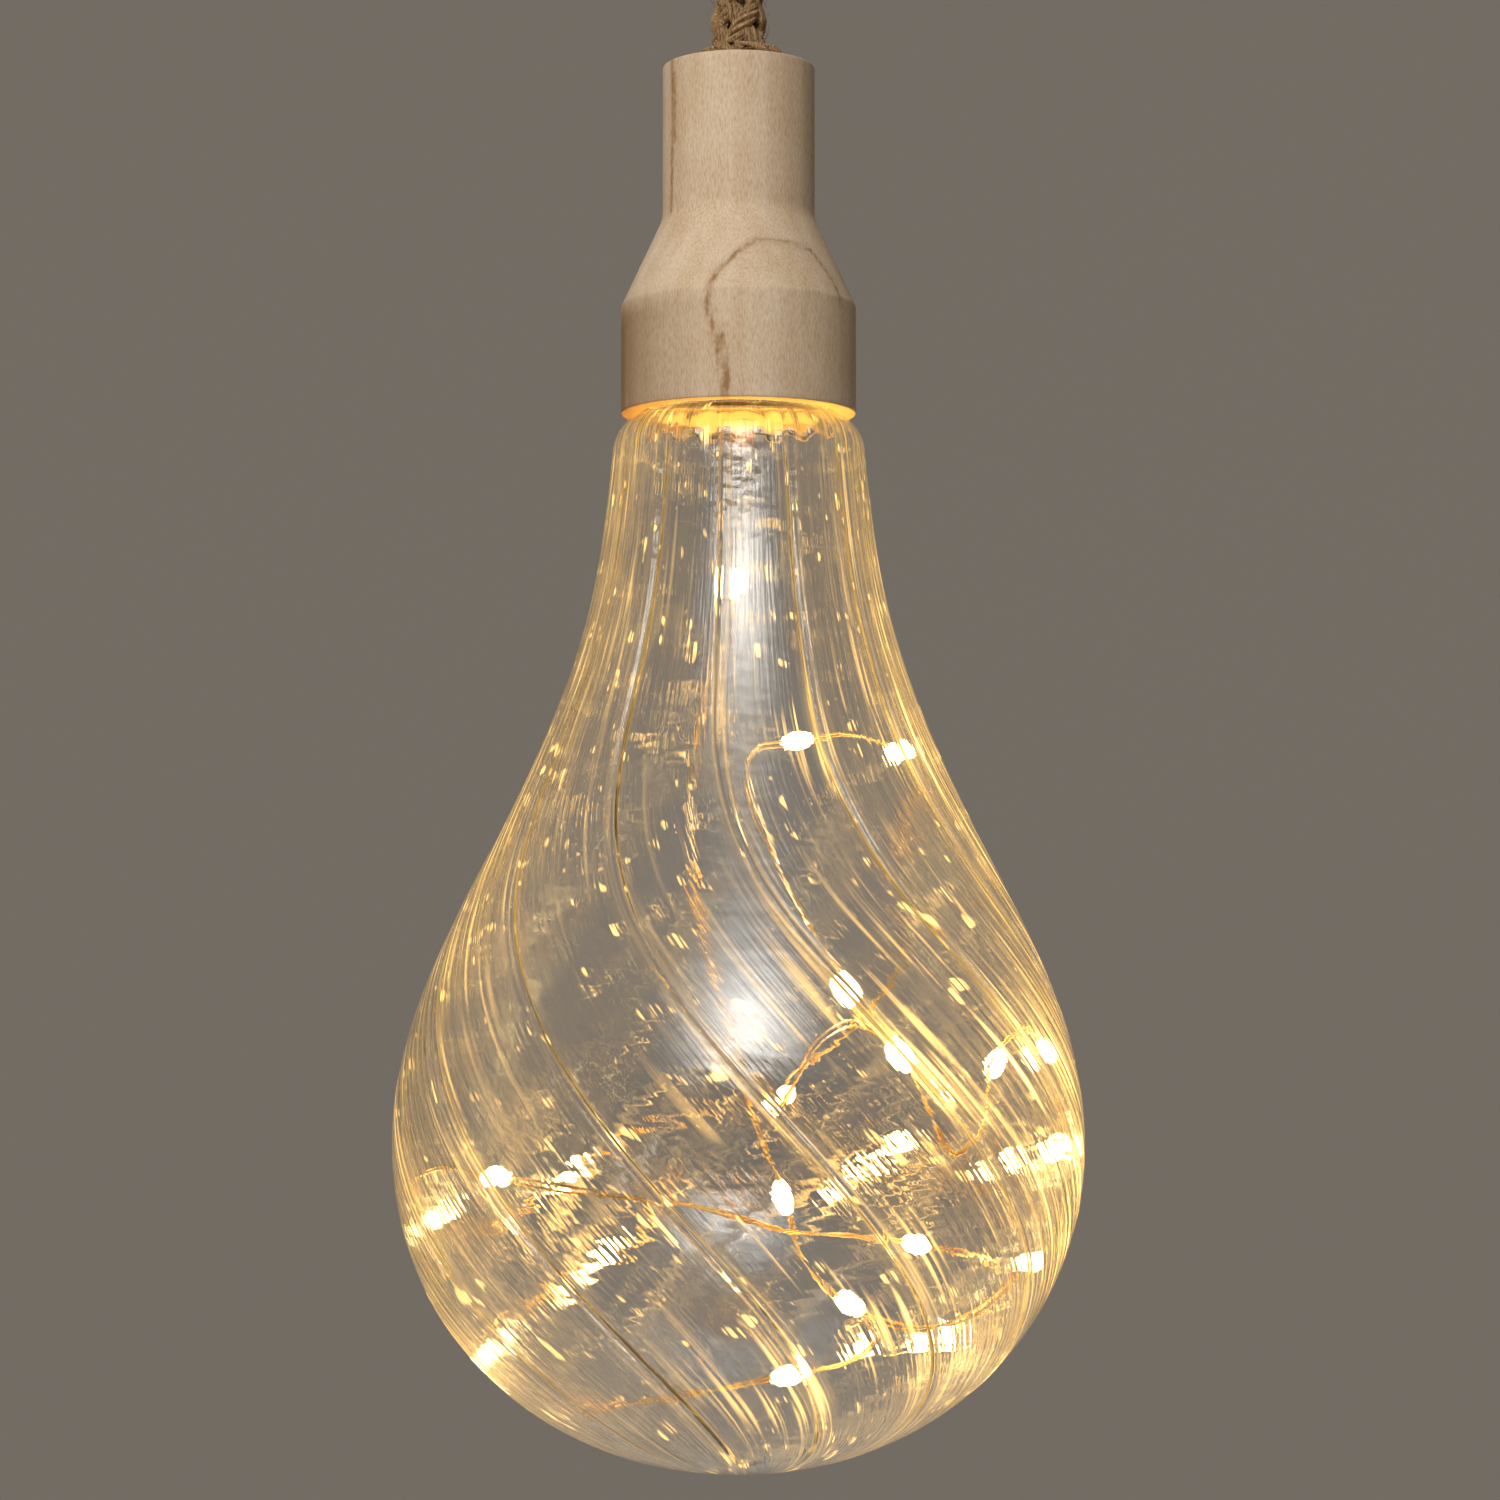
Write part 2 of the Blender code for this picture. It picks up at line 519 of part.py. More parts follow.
# Swivel and rope

def make_swivel_washer(parent):
    """Dished washer between the knot and the bush: a band of a hollow ball."""
    inner = arc((0, 0), SWIVEL_INNER, SWIVEL_BOTTOM, SWIVEL_TOP, ARC_STEP * 0.6)
    outer = arc((0, 0), SWIVEL_OUTER, SWIVEL_TOP, SWIVEL_BOTTOM, ARC_STEP * 0.6)
    turned("swivel_washer", inner + outer, ZINCED_STEEL, parent, (0, 0, PIVOT_Z))


def make_rose_knot(parent):
    """Stopper knot, drawn up round, with the rope leaving it below."""
    neck = math.asin(ROPE_RADIUS / KNOT_RADIUS)
    outline = ([(0, -ROSE_KNOT_NECK), (ROPE_RADIUS, -ROSE_KNOT_NECK)]
               + arc((0, 0), KNOT_RADIUS, neck, math.pi))
    outline[-1] = (0, KNOT_RADIUS)
    turned("rose_knot", outline, JUTE, parent, (0, 0, PIVOT_Z), sides=24)


def make_rope(parent):
    top = PIVOT_Z - ROSE_KNOT_NECK - SEAT_GAP
    bottom = CAP_TOP_Z + SEAT_GAP
    route = smooth_route([(0, 0, top), (0, 0, (top + bottom) / 2), (0, 0, bottom)], 2 * ROPE_DIAMETER)
    tube("rope", route, ROPE_DIAMETER, JUTE, parent, resolution=4)


def make_rope_collar(parent):
    """Strands of the braid spread over the top of the cap."""
    bore = ROPE_RADIUS + SEAT_GAP
    rim = COLLAR_DIAMETER / 2
    outline = [(bore, 0), (rim - FINE_EDGE, 0), (rim, COLLAR_LIP * 0.5), (rim - FINE_EDGE, COLLAR_LIP),
               ((bore + rim) / 2, COLLAR_HEIGHT * 0.7), (bore, COLLAR_HEIGHT)]
    turned("rope_collar", outline, JUTE, parent, (0, 0, CAP_TOP_Z + SEAT_GAP), sides=24)


# Wooden cap and what it holds

def make_cap(parent):
    bore = ROPE_RADIUS + SEAT_GAP
    top = CAP_TOP_DIAMETER / 2
    skirt = CAP_SKIRT_DIAMETER / 2
    cone_top = -CAP_TOP_HEIGHT
    cone_foot = cone_top - CAP_CONE_HEIGHT
    rim = cone_foot - CAP_SKIRT_HEIGHT
    socket_top = rim + SOCKET_DEPTH
    outline = rounded([
        (bore, 0, FINE_EDGE), (top, 0, CAP_EDGE), (top, cone_top, CAP_BEND),
        (skirt, cone_foot, CAP_BEND), (skirt, rim, CAP_EDGE), (SOCKET_DIAMETER / 2, rim, FINE_EDGE),
        (SOCKET_DIAMETER / 2, socket_top, 0), (KNOT_CHAMBER_DIAMETER / 2, socket_top, 0),
        (KNOT_CHAMBER_DIAMETER / 2, -KNOT_CHAMBER_DEPTH, 0), (bore, -KNOT_CHAMBER_DEPTH, 0),
    ])
    turned("wooden_cap", outline, PALE_WOOD, parent, (0, 0, CAP_TOP_Z), sides=CAP_SIDES)


def make_knot_washer(parent):
    low = CHAMBER_Z - SEAT_GAP - KNOT_WASHER_THICKNESS
    outline = rounded([
        (ROPE_RADIUS + SEAT_GAP, 0, 0), (KNOT_WASHER_DIAMETER / 2, 0, FINE_EDGE),
        (KNOT_WASHER_DIAMETER / 2, KNOT_WASHER_THICKNESS, FINE_EDGE),
        (ROPE_RADIUS + SEAT_GAP, KNOT_WASHER_THICKNESS, 0),
    ], steps=1)
    turned("knot_washer", outline, ZINCED_STEEL, parent, (0, 0, low), sides=24)
    return low


def make_cap_knot(parent, washer_z):
    """Stopper knot under the washer, with the rope's end going up through the cap's bore."""
    top = washer_z - SEAT_GAP
    half = CAP_KNOT_HEIGHT / 2
    start = math.asin(ROPE_RADIUS / (CAP_KNOT_DIAMETER / 2))
    count = 9
    outline = [(0, CAP_TOP_Z), (ROPE_RADIUS, CAP_TOP_Z)]
    for k in range(count + 1):
        angle = start + (math.pi - start) * k / count
        outline.append((CAP_KNOT_DIAMETER / 2 * math.sin(angle), top - half + half * math.cos(angle)))
    outline[-1] = (0, top - CAP_KNOT_HEIGHT)
    turned("cap_knot", outline, JUTE, parent, sides=24)
    return top - CAP_KNOT_HEIGHT


def make_neck_plug(parent):
    """Cup shaped plug that closes the glass neck and lets the wire through its floor."""
    flange_top = SOCKET_Z - SEAT_GAP
    flange_low = flange_top - PLUG_FLANGE_THICKNESS
    body = GLASS_NECK_DIAMETER / 2 - GLASS_WALL - SEAT_GAP
    floor_low = flange_low - PLUG_LENGTH
    hollow = body - PLUG_WALL
    outline = rounded([
        (hollow, flange_top, 0), (GLASS_NECK_DIAMETER / 2 - SEAT_GAP, flange_top, 0),
        (GLASS_NECK_DIAMETER / 2 - SEAT_GAP, flange_low, 0), (body, flange_low, 0),
        (body, floor_low, 2 * FINE_EDGE), (WIRE_BORE / 2, floor_low, 0),
        (WIRE_BORE / 2, floor_low + PLUG_FLOOR, 0), (hollow, floor_low + PLUG_FLOOR, 0),
    ])
    turned("neck_plug", outline, PALE_WOOD, parent, sides=NECK_SIDES)
    return floor_low + PLUG_FLOOR


def make_neck_seal(parent):
    """Soft ring with two ribs that holds the glass neck in the cap's socket."""
    inner = GLASS_NECK_DIAMETER / 2 + SEAT_GAP
    outer = SOCKET_DIAMETER / 2 - SEAT_GAP
    waist = outer - SEAL_RIB
    low = CAP_RIM_Z + SEAL_RISE
    step = SEAL_HEIGHT / 6
    outline = [(inner, low), (outer, low), (outer, low + step), (waist, low + 1.5 * step),
               (waist, low + 4.5 * step), (outer, low + 5 * step), (outer, low + SEAL_HEIGHT),
               (inner, low + SEAL_HEIGHT)]
    turned("neck_seal", outline, CLEAR_SILICONE, parent, sides=NECK_SIDES)


def make_wire_joint(parent, knot_foot, plug_floor):
    """Short lead out of the knot, and the sleeve where it is joined to the copper wire."""
    lead = CAP_LEAD_DIAMETER / 2
    low = plug_floor + SEAT_GAP
    middle = low + SLEEVE_LENGTH / 2
    outline = [(WIRE_BORE / 2, low), (SLEEVE_DIAMETER / 2 - FINE_EDGE, low),
               (SLEEVE_DIAMETER / 2, low + 2 * FINE_EDGE), (SLEEVE_DIAMETER / 2, low + SLEEVE_LENGTH),
               (lead + SEAT_GAP, low + SLEEVE_LENGTH), (lead + SEAT_GAP, middle),
               (WIRE_BORE / 2, middle - SLEEVE_WEB)]
    turned("splice_sleeve", outline, WHITE_PLASTIC, parent, sides=12)
    top = knot_foot - SEAT_GAP
    foot = middle + SEAT_GAP
    route = smooth_route([(0, 0, top), (0, 0, (top + foot) / 2), (0, 0, foot)], 2 * CAP_LEAD_DIAMETER)
    tube("cap_lead", route, CAP_LEAD_DIAMETER, WHITE_PLASTIC, parent)
    return low


# Glass

def outline_slopes(xs, ys, first, last):
    """Slopes of the smoothest curve through the points, with its two end slopes given."""
    count = len(xs)
    gaps = np.diff(xs)
    table = np.zeros((count, count))
    wanted = np.zeros(count)
    table[0, 0] = table[-1, -1] = 1
    wanted[0], wanted[-1] = first, last
    for i in range(1, count - 1):
        table[i, i - 1:i + 2] = 1 / gaps[i - 1], 2 / gaps[i - 1] + 2 / gaps[i], 1 / gaps[i]
        wanted[i] = 3 * ((ys[i] - ys[i - 1]) / gaps[i - 1] ** 2 + (ys[i + 1] - ys[i]) / gaps[i] ** 2)
    return np.linalg.solve(table, wanted)


BELLY_RADIUS = GLASS_DIAMETER / 2
BELLY_DEPTH = BELLY_SHARE * GLASS_DROP
SHOULDER_DEPTH = SEAT_GAP + SHOULDER_HEIGHT
WAIST_RADIUS = SHOULDER_START + SHOULDER_WIDTH
OUTLINE_X = np.array([SHOULDER_DEPTH] + [GLASS_DROP * d for d, r in GLASS_OUTLINE] + [BELLY_DEPTH])
OUTLINE_Y = np.array([WAIST_RADIUS] + [BELLY_RADIUS * r for d, r in GLASS_OUTLINE] + [BELLY_RADIUS])
OUTLINE_SLOPE = outline_slopes(OUTLINE_X, OUTLINE_Y, WAIST_SLOPE, 0)


def glass_radius(depth):
    """Outer radius of the plain glass at a depth below the rim of the cap."""
    if depth < SHOULDER_DEPTH:
        share = min(1, (SHOULDER_DEPTH - depth) / SHOULDER_HEIGHT)
        return SHOULDER_START + SHOULDER_WIDTH * math.sqrt(1 - share ** 2)
    if depth >= BELLY_DEPTH:
        share = min(1, (depth - BELLY_DEPTH) / (GLASS_DROP - BELLY_DEPTH))
        return BELLY_RADIUS * (1 - share ** BELLY_FULLNESS) ** (1 / BELLY_FULLNESS)
    i = int(np.searchsorted(OUTLINE_X, depth, side="right")) - 1
    gap = OUTLINE_X[i + 1] - OUTLINE_X[i]
    u = (depth - OUTLINE_X[i]) / gap
    return ((2 * u ** 3 - 3 * u ** 2 + 1) * OUTLINE_Y[i] + (u ** 3 - 2 * u ** 2 + u) * gap * OUTLINE_SLOPE[i]
            + (3 * u ** 2 - 2 * u ** 3) * OUTLINE_Y[i + 1] + (u ** 3 - u ** 2) * gap * OUTLINE_SLOPE[i + 1])


def rib_turn(depth):
    """How far the ribs have swirled round at a depth."""
    share = max(0, depth / GLASS_DROP - TWIST_FROM)
    steady = TWIST_STEADY - TWIST_FROM
    return TWIST_GAIN * (share ** 2 if share < steady else steady * (2 * share - steady))


def glass_rings(shoulder_rings, waist_rings, belly_rings):
    """Outline of the outside from the neck's rim to the lowest point, as (radius, depth)."""
    neck = GLASS_NECK_DIAMETER / 2
    rings = [(neck, -GLASS_NECK_LENGTH), (neck, -3 * FINE_EDGE), (neck + FINE_EDGE, 0)]
    for k in range(shoulder_rings):
        angle = math.pi / 2 * (k / shoulder_rings)
        rings.append((SHOULDER_START + SHOULDER_WIDTH * math.sin(angle),
                      SHOULDER_DEPTH - SHOULDER_HEIGHT * math.cos(angle)))
    for k in range(waist_rings):
        depth = SHOULDER_DEPTH + (BELLY_DEPTH - SHOULDER_DEPTH) * k / waist_rings
        rings.append((glass_radius(depth), depth))
    for k in range(belly_rings):
        depth = BELLY_DEPTH + (GLASS_DROP - BELLY_DEPTH) * math.sin(math.pi / 2 * k / belly_rings)
        rings.append((glass_radius(depth), depth))
    return rings + [(0, GLASS_DROP)]


def inset_rings(rings, wall):
    """The inner outline, one wall in from the outer one."""
    inner = []
    for i, (radius, depth) in enumerate(rings):
        before, after = Vector(rings[max(i - 1, 0)]), Vector(rings[min(i + 1, len(rings) - 1)])
        along = (after - before).normalized()
        inner.append((radius - wall * along.y, depth + wall * along.x))
    inner[0] = (rings[0][0] - wall, rings[0][1])
    inner[-1] = (0, GLASS_DROP - wall)
    return inner


def make_glass(parent):
    """Blown shell: straight ribs in the neck that swirl round the belly to the pole."""
    bm = bmesh.new()
    pitch = FULL_TURN / RIB_COUNT
    columns = [(pitch * rib + shift, crest) for rib in range(RIB_COUNT)
               for shift, crest in ((0, 1), (RIB_FOOT, 0.12), (pitch / 2, 0), (pitch - RIB_FOOT, 0.12))]

    def skin(outline, height):
        made = []
        for radius, depth in outline[:-1]:
            fade = min(1, max(0, depth / RIB_FADE)) * min(1, radius / RIB_POLE)
            ring = []
            for angle, crest in columns:
                turn = RIB_START + angle + rib_turn(depth)
                out = radius + height * crest * fade
                ring.append(bm.verts.new((out * math.sin(turn), -out * math.cos(turn), -depth)))
            made.append(ring)
        return made, bm.verts.new((0, 0, -outline[-1][1]))

    outer, outer_pole = skin(glass_rings(5, 14, 9), OUTER_RIB)
    inner, inner_pole = skin(inset_rings(glass_rings(3, 11, 8), GLASS_WALL), -INNER_RIB)
    count = len(columns)
    for shell, pole in ((outer, outer_pole), (inner, inner_pole)):
        for above, below in zip(shell, shell[1:]):
            for k in range(count):
                bm.faces.new((above[k - 1], above[k], below[k], below[k - 1]))
        for k in range(count):
            bm.faces.new((shell[-1][k - 1], shell[-1][k], pole))
    for k in range(count):
        bm.faces.new((outer[0][k - 1], outer[0][k], inner[0][k], inner[0][k - 1]))
    mesh_object("glass_bulb", bm, CLEAR_GLASS, parent, (0, 0, CAP_RIM_Z), sharp=math.radians(60))


# String of small lamps

def wire_point(angle, down, out):
    """A point inside the glass, from its angle and its percentages down and out."""
    depth = GLASS_DROP * down / 100
    wall_slope = (glass_radius(depth + MM) - glass_radius(depth - MM)) / (2 * MM)
    inset = GLASS_WALL + INNER_RIB + LED_CLEARANCE + LED_DIAMETER / 2
    room = glass_radius(depth) - inset * math.sqrt(1 + wall_slope ** 2)
    radius = room * out / 100
    turn = math.radians(angle)
    return Vector((radius * math.sin(turn), -radius * math.cos(turn), CAP_RIM_Z - depth))


def wire_course(start_z):
    """The wire's points, about one step apart, and the middle of each lamp's own straight."""
    knots = [Vector(p[:3]) for p in WIRE_ROUTE]
    knots = [2 * knots[0] - knots[1], *knots, 2 * knots[-1] - knots[-2]]
    per_span = 10
    fine, lamp_marks = [], []
    for i in range(1, len(knots) - 2):
        a, b, c, d = knots[i - 1:i + 3]
        if WIRE_ROUTE[i - 1][3]:
            lamp_marks.append(len(fine))
        for k in range(per_span):
            t = k / per_span
            mixed = 0.5 * ((2 * b) + (c - a) * t + (2 * a - 5 * b + 4 * c - d) * t * t
                           + (3 * b - a - 3 * c + d) * t ** 3)
            fine.append(wire_point(mixed.x, mixed.y, min(mixed.z, 100)))
    fine.append(wire_point(*knots[-2]))
    plug_low = start_z - PLUG_FLOOR
    lead_in = [Vector((0, 0, z)) for z in (start_z, plug_low - WIRE_LEAD_IN / 2, plug_low - WIRE_LEAD_IN)]
    whole = lead_in + fine
    lengths = np.cumsum([0] + [(whole[i + 1] - whole[i]).length for i in range(len(whole) - 1)])
    marks = [lengths[m + len(lead_in)] for m in lamp_marks]
    axes = [[p[axis] for p in whole] for axis in range(3)]

    def at(distance):
        return Vector([float(np.interp(distance, lengths, axis)) for axis in axes])

    half = LED_LENGTH / 2 + LED_STRAIGHT
    stops = [0, lengths[2]]
    fences = [0.0, *marks, lengths[-1]]
    for low, high in zip(fences, fences[1:]):
        begin = low + half if low else lengths[2]
        end = high - half if high != fences[-1] else high
        count = max(1, round((end - begin) / WIRE_STEP))
        stops += [begin + (end - begin) * k / count for k in range(count + 1)]
    course = [at(s) for s in sorted(set(stops))]
    lamps = [((at(m - half) + at(m + half)) / 2, (at(m + half) - at(m - half)).normalized()) for m in marks]
    return course, lamps, lengths[-1]


def segment_gap(a, b, c, d):
    """Least distance between two straight stretches, read at points along both."""
    along = np.linspace(0, 1, 7)[:, None]
    first = np.array(a) + (np.array(b) - np.array(a)) * along
    second = np.array(c) + (np.array(d) - np.array(c)) * along
    return float(np.min(np.linalg.norm(first[:, None] - second[None], axis=2)))


def print_gaps(course, lamps):
    """Print the least gap of the wire to itself and of the lamps to other wire."""
    skip = 3
    least = min(segment_gap(*course[i:i + 2], *course[j:j + 2])
                for i in range(len(course) - 1) for j in range(i + skip, len(course) - 1)
                if (course[i] - course[j]).length < 5 * WIRE_STEP)
    print(f"wire to itself: least gap {(least - WIRE_DIAMETER) / MM:.2f} mm")
    stretches = list(zip(course, course[1:]))
    lamp_gap = math.inf
    for middle, along in lamps:
        ends = middle - along * LED_LENGTH / 2, middle + along * LED_LENGTH / 2
        own = min(range(len(stretches)), key=lambda i: (sum(stretches[i], Vector()) / 2 - middle).length)
        for i, stretch in enumerate(stretches):
            if abs(i - own) > 1:
                lamp_gap = min(lamp_gap, segment_gap(*ends, *stretch))
    print(f"lamps to other wire: least gap {(lamp_gap - (WIRE_DIAMETER + LED_DIAMETER) / 2) / MM:.2f} mm")


def make_led_string(parent, sleeve_low):
    course, lamps, length = wire_course(sleeve_low + SLEEVE_LENGTH / 4)
    print_gaps(course, lamps)
    print(f"wire length {length / MM:.0f} mm, {len(course)} points, {len(lamps)} lamps")
    tube("led_wire", course, WIRE_DIAMETER, COPPER, parent, resolution=1)
    bore = LED_BORE / 2
    full = LED_DIAMETER / 2
    half = LED_LENGTH / 2
    outline = [(bore, -half), (full * 0.62, -half), (full, -half * 0.4), (full, half * 0.4),
               (full * 0.62, half), (bore, half)]
    drop = bmesh.new()
    spin_outline(drop, outline, 6)
    bmesh.ops.recalc_face_normals(drop, faces=drop.faces)
    mesh = bpy.data.meshes.new("led_drop")
    drop.to_mesh(mesh)
    drop.free()
    mesh.shade_smooth()
    mesh.set_sharp_from_angle(angle=math.radians(50))
    mesh.materials.append(LAMP_RESIN)
    for number, (middle, along) in enumerate(lamps, start=1):
        lamp = add_object(f"led_{number:02d}", mesh, parent, middle)
        lamp.rotation_mode = "QUATERNION"
        lamp.rotation_quaternion = along.to_track_quat("Z", "Y")


def add_pivot(name):
    """An empty on the swing's two axes, which holds what turns with it."""
    pivot = add_object(name, None, place=(0, 0, PIVOT_Z))
    pivot.empty_display_size = ROSE_KNOT_DIAMETER
    return pivot


clear_scene()
PALE_WOOD = finish("turned pale wood", "C9B28E", 0.55)
JUTE = finish("jute", "9A7B55", 0.9)
ZINCED_STEEL = finish("zinc plated steel", "B9BDC0", 0.35, metallic=1)
SATIN_BRASS = finish("satin brass", "C9A45C", 0.35, metallic=1)
WHITE_PLASTIC = finish("white moulded plastic", "E9E7E0", 0.45)
CLEAR_SILICONE = finish("clear silicone", "D8DAD6", 0.5, transmission=0.4)
CLEAR_GLASS = finish("clear blown glass", "F4F6F4", 0.03, transmission=1)
COPPER = finish("lacquered copper wire", "C8804A", 0.3, metallic=1)
LAMP_RESIN = finish("warm lamp resin", "FFE3A6", 0.2)

make_rose_cup()
make_bracket()
make_cup_screws()
make_seat_bush()
make_driver()
make_terminal_block()
make_leads()
side_pivot = add_pivot("swing_side_pivot")
front_pivot = add_pivot("swing_front_pivot")
make_swivel_washer(side_pivot)
make_rose_knot(front_pivot)
make_rope(front_pivot)
make_rope_collar(front_pivot)
make_cap(front_pivot)
washer_low = make_knot_washer(front_pivot)
knot_low = make_cap_knot(front_pivot, washer_low)
plug_floor_z = make_neck_plug(front_pivot)
make_neck_seal(front_pivot)
sleeve_z = make_wire_joint(front_pivot, knot_low, plug_floor_z)
make_glass(front_pivot)
make_led_string(front_pivot, sleeve_z)
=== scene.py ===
"""Looks for the rope pendant lamp: turned wood, braided jute, ribbed blown glass and a string of lamps."""

import json
import math
import random

import bpy
import numpy as np
from mathutils import Matrix, Vector


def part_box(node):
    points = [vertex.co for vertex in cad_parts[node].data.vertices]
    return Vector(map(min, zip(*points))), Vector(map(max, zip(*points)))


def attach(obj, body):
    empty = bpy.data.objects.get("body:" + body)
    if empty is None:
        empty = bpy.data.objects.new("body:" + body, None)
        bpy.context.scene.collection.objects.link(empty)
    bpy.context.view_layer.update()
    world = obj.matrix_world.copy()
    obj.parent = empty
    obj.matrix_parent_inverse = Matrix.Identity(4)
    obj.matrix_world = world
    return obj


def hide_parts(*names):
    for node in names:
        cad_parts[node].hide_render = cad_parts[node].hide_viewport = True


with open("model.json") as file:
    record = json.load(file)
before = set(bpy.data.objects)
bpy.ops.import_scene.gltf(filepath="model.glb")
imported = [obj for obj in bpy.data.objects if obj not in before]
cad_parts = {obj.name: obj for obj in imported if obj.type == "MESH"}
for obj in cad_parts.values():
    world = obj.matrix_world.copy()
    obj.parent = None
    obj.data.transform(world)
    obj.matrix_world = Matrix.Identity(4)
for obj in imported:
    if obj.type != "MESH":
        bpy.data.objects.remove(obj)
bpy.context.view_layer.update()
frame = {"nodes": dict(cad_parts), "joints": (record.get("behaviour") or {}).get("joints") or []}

MM = 0.001
FULL_TURN = 2 * math.pi
chance = random.Random(7)

# Places read from the frame
cap_low, cap_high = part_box("wooden_cap")
glass_low, glass_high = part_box("glass_bulb")
rope_low, rope_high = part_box("rope")
rose_low, rose_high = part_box("rose_cup")
plug_low, plug_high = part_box("neck_plug")
collar_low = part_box("rope_collar")[0]
pivot = Vector(frame["joints"][0]["pos_m"])

# The photograph's frame, in its own pixels
PHOTO_SIZE = 1500
FOCAL_PIXELS = 3409
PHOTO_PITCH = math.radians(3.1)
CAMERA_DISTANCE = 0.745
CAMERA_ASIDE = 0.0025
CAMERA_ABOVE_RIM = -0.1142
SENSOR_WIDTH = 36

# Sizes shared with the construction
CAP_RIM_Z = cap_low.z
CAP_TOP_Z = cap_high.z
CAP_TOP_RADIUS = 16.8 * MM
CAP_TOP_HEIGHT = 34 * MM
CAP_CONE_HEIGHT = 19.4 * MM
CAP_CONE_FILLET = 7 * MM
CAP_SKIRT_RADIUS = 25.85 * MM
CAP_SKIRT_FILLET = 2.5 * MM
SOCKET_RADIUS = 21.5 * MM
SOCKET_DEPTH = 19 * MM
KNOT_CHAMBER_RADIUS = 14 * MM
KNOT_CHAMBER_DEPTH = 36 * MM
ROPE_BORE = 6.5 * MM
ROPE_DIAMETER = 12.4 * MM
GLASS_RADIUS = 75 * MM
GLASS_DROP = CAP_RIM_Z - glass_low.z
GLASS_WALL = 2 * MM
GLASS_NECK_RADIUS = 19 * MM
GLASS_NECK_LENGTH = glass_high.z - CAP_RIM_Z
SHOULDER_START = 20.5 * MM
SHOULDER_WIDTH = 7.2 * MM
SHOULDER_HEIGHT = 9 * MM
SHOULDER_DEPTH = 9.3 * MM
WAIST_SLOPE = 0.11
GLASS_OUTLINE = ((0.161, 0.419), (0.274, 0.519), (0.405, 0.701), (0.539, 0.900))
BELLY_DEPTH = 0.691 * GLASS_DROP
BELLY_FULLNESS = 2.05
RIB_COUNT = 12
RIB_START = math.radians(24)
TWIST_FROM = 0.28
TWIST_STEADY = 0.50
TWIST_GAIN = math.radians(370)

ROSE_RADIUS = rose_high.x
ROSE_WALL = 5 * MM
ROSE_FLOOR = 6 * MM
ROSE_EDGE = 2.5 * MM
FLOOR_Z = rose_low.z + ROSE_FLOOR
KNOT_RADIUS = 15 * MM
SWIVEL_INNER = 15.3 * MM
SWIVEL_OUTER = 16.9 * MM
SWIVEL_BOTTOM = math.radians(45.9)
SWIVEL_TOP = math.radians(72)
SEAT_RADIUS = 17.2 * MM
SEAT_BOTTOM = math.radians(51.1)
SEAT_TOP = math.radians(80)
BUSH_RADIUS = 20.7 * MM
BUSH_MOUTH = 15.7 * MM
BUSH_FLANGE = 24 * MM
SEAT_GAP = 0.3 * MM
FINE_EDGE = 0.4 * MM


# Helpers for materials

def colour(hex_text):
    """Linear RGBA of an sRGB hex colour."""
    values = [int(hex_text[i:i + 2], 16) / 255 for i in (0, 2, 4)]
    return (*[v / 12.92 if v <= 0.04045 else ((v + 0.055) / 1.055) ** 2.4 for v in values], 1)


def add_node(tree, kind, settings=None, inputs=None, links=None, stops=()):
    """Add a node, with its settings, its sockets' values and what is linked into them. A colour ramp
    also gets its stops, each a place and a hex colour."""
    node = tree.nodes.new(kind)
    for key, value in (settings or {}).items():
        setattr(node, key, value)
    for key, value in (inputs or {}).items():
        node.inputs[key].default_value = value
    for key, source in (links or {}).items():
        tree.links.new(source, node.inputs[key])
    for k, (place, tint) in enumerate(stops):
        element = node.color_ramp.elements[k] if k < 2 else node.color_ramp.elements.new(place)
        element.position, element.color = place, colour(tint)
    return node


def new_material(name, base="FFFFFF", roughness=0.5, **shader_values):
    """A material with one Principled shader: its tree and that shader are returned with it."""
    made = bpy.data.materials.new(name)
    made.use_nodes = True
    shader = made.node_tree.nodes["Principled BSDF"]
    shader.inputs["Base Color"].default_value = colour(base)
    shader.inputs["Roughness"].default_value = roughness
    for key, value in shader_values.items():
        shader.inputs[key.replace("_", " ")].default_value = value
    return made, made.node_tree, shader


# Camera

def add_camera():
    """A camera at the photograph's angle, with its focal length."""
    data = bpy.data.cameras.new("photo_camera")
    data.sensor_width = SENSOR_WIDTH
    data.lens = FOCAL_PIXELS / PHOTO_SIZE * SENSOR_WIDTH
    camera = bpy.data.objects.new("photo_camera", data)
    bpy.context.scene.collection.objects.link(camera)
    camera.location = (CAMERA_ASIDE, -CAMERA_DISTANCE, CAP_RIM_Z + CAMERA_ABOVE_RIM)
    camera.rotation_euler = (math.pi / 2 + PHOTO_PITCH, 0, 0)
    bpy.context.scene.camera = camera


# Helpers for shapes

def deselect_all():
    """Leave nothing selected, so that an operator acts on what is chosen next."""
    for item in bpy.context.selected_objects:
        item.select_set(False)


def make_active(piece):
    """Select one piece alone and make it the one that operators work on."""
    deselect_all()
    piece.select_set(True)
    bpy.context.view_layer.objects.active = piece


def mesh_piece(name, points, faces, edges=()):
    """A piece from points, and the faces or edges between them."""
    mesh = bpy.data.meshes.new(name)
    mesh.from_pydata([tuple(p) for p in points], list(edges), faces)
    mesh.update()
    piece = bpy.data.objects.new(name, mesh)
    bpy.context.scene.collection.objects.link(piece)
    return piece


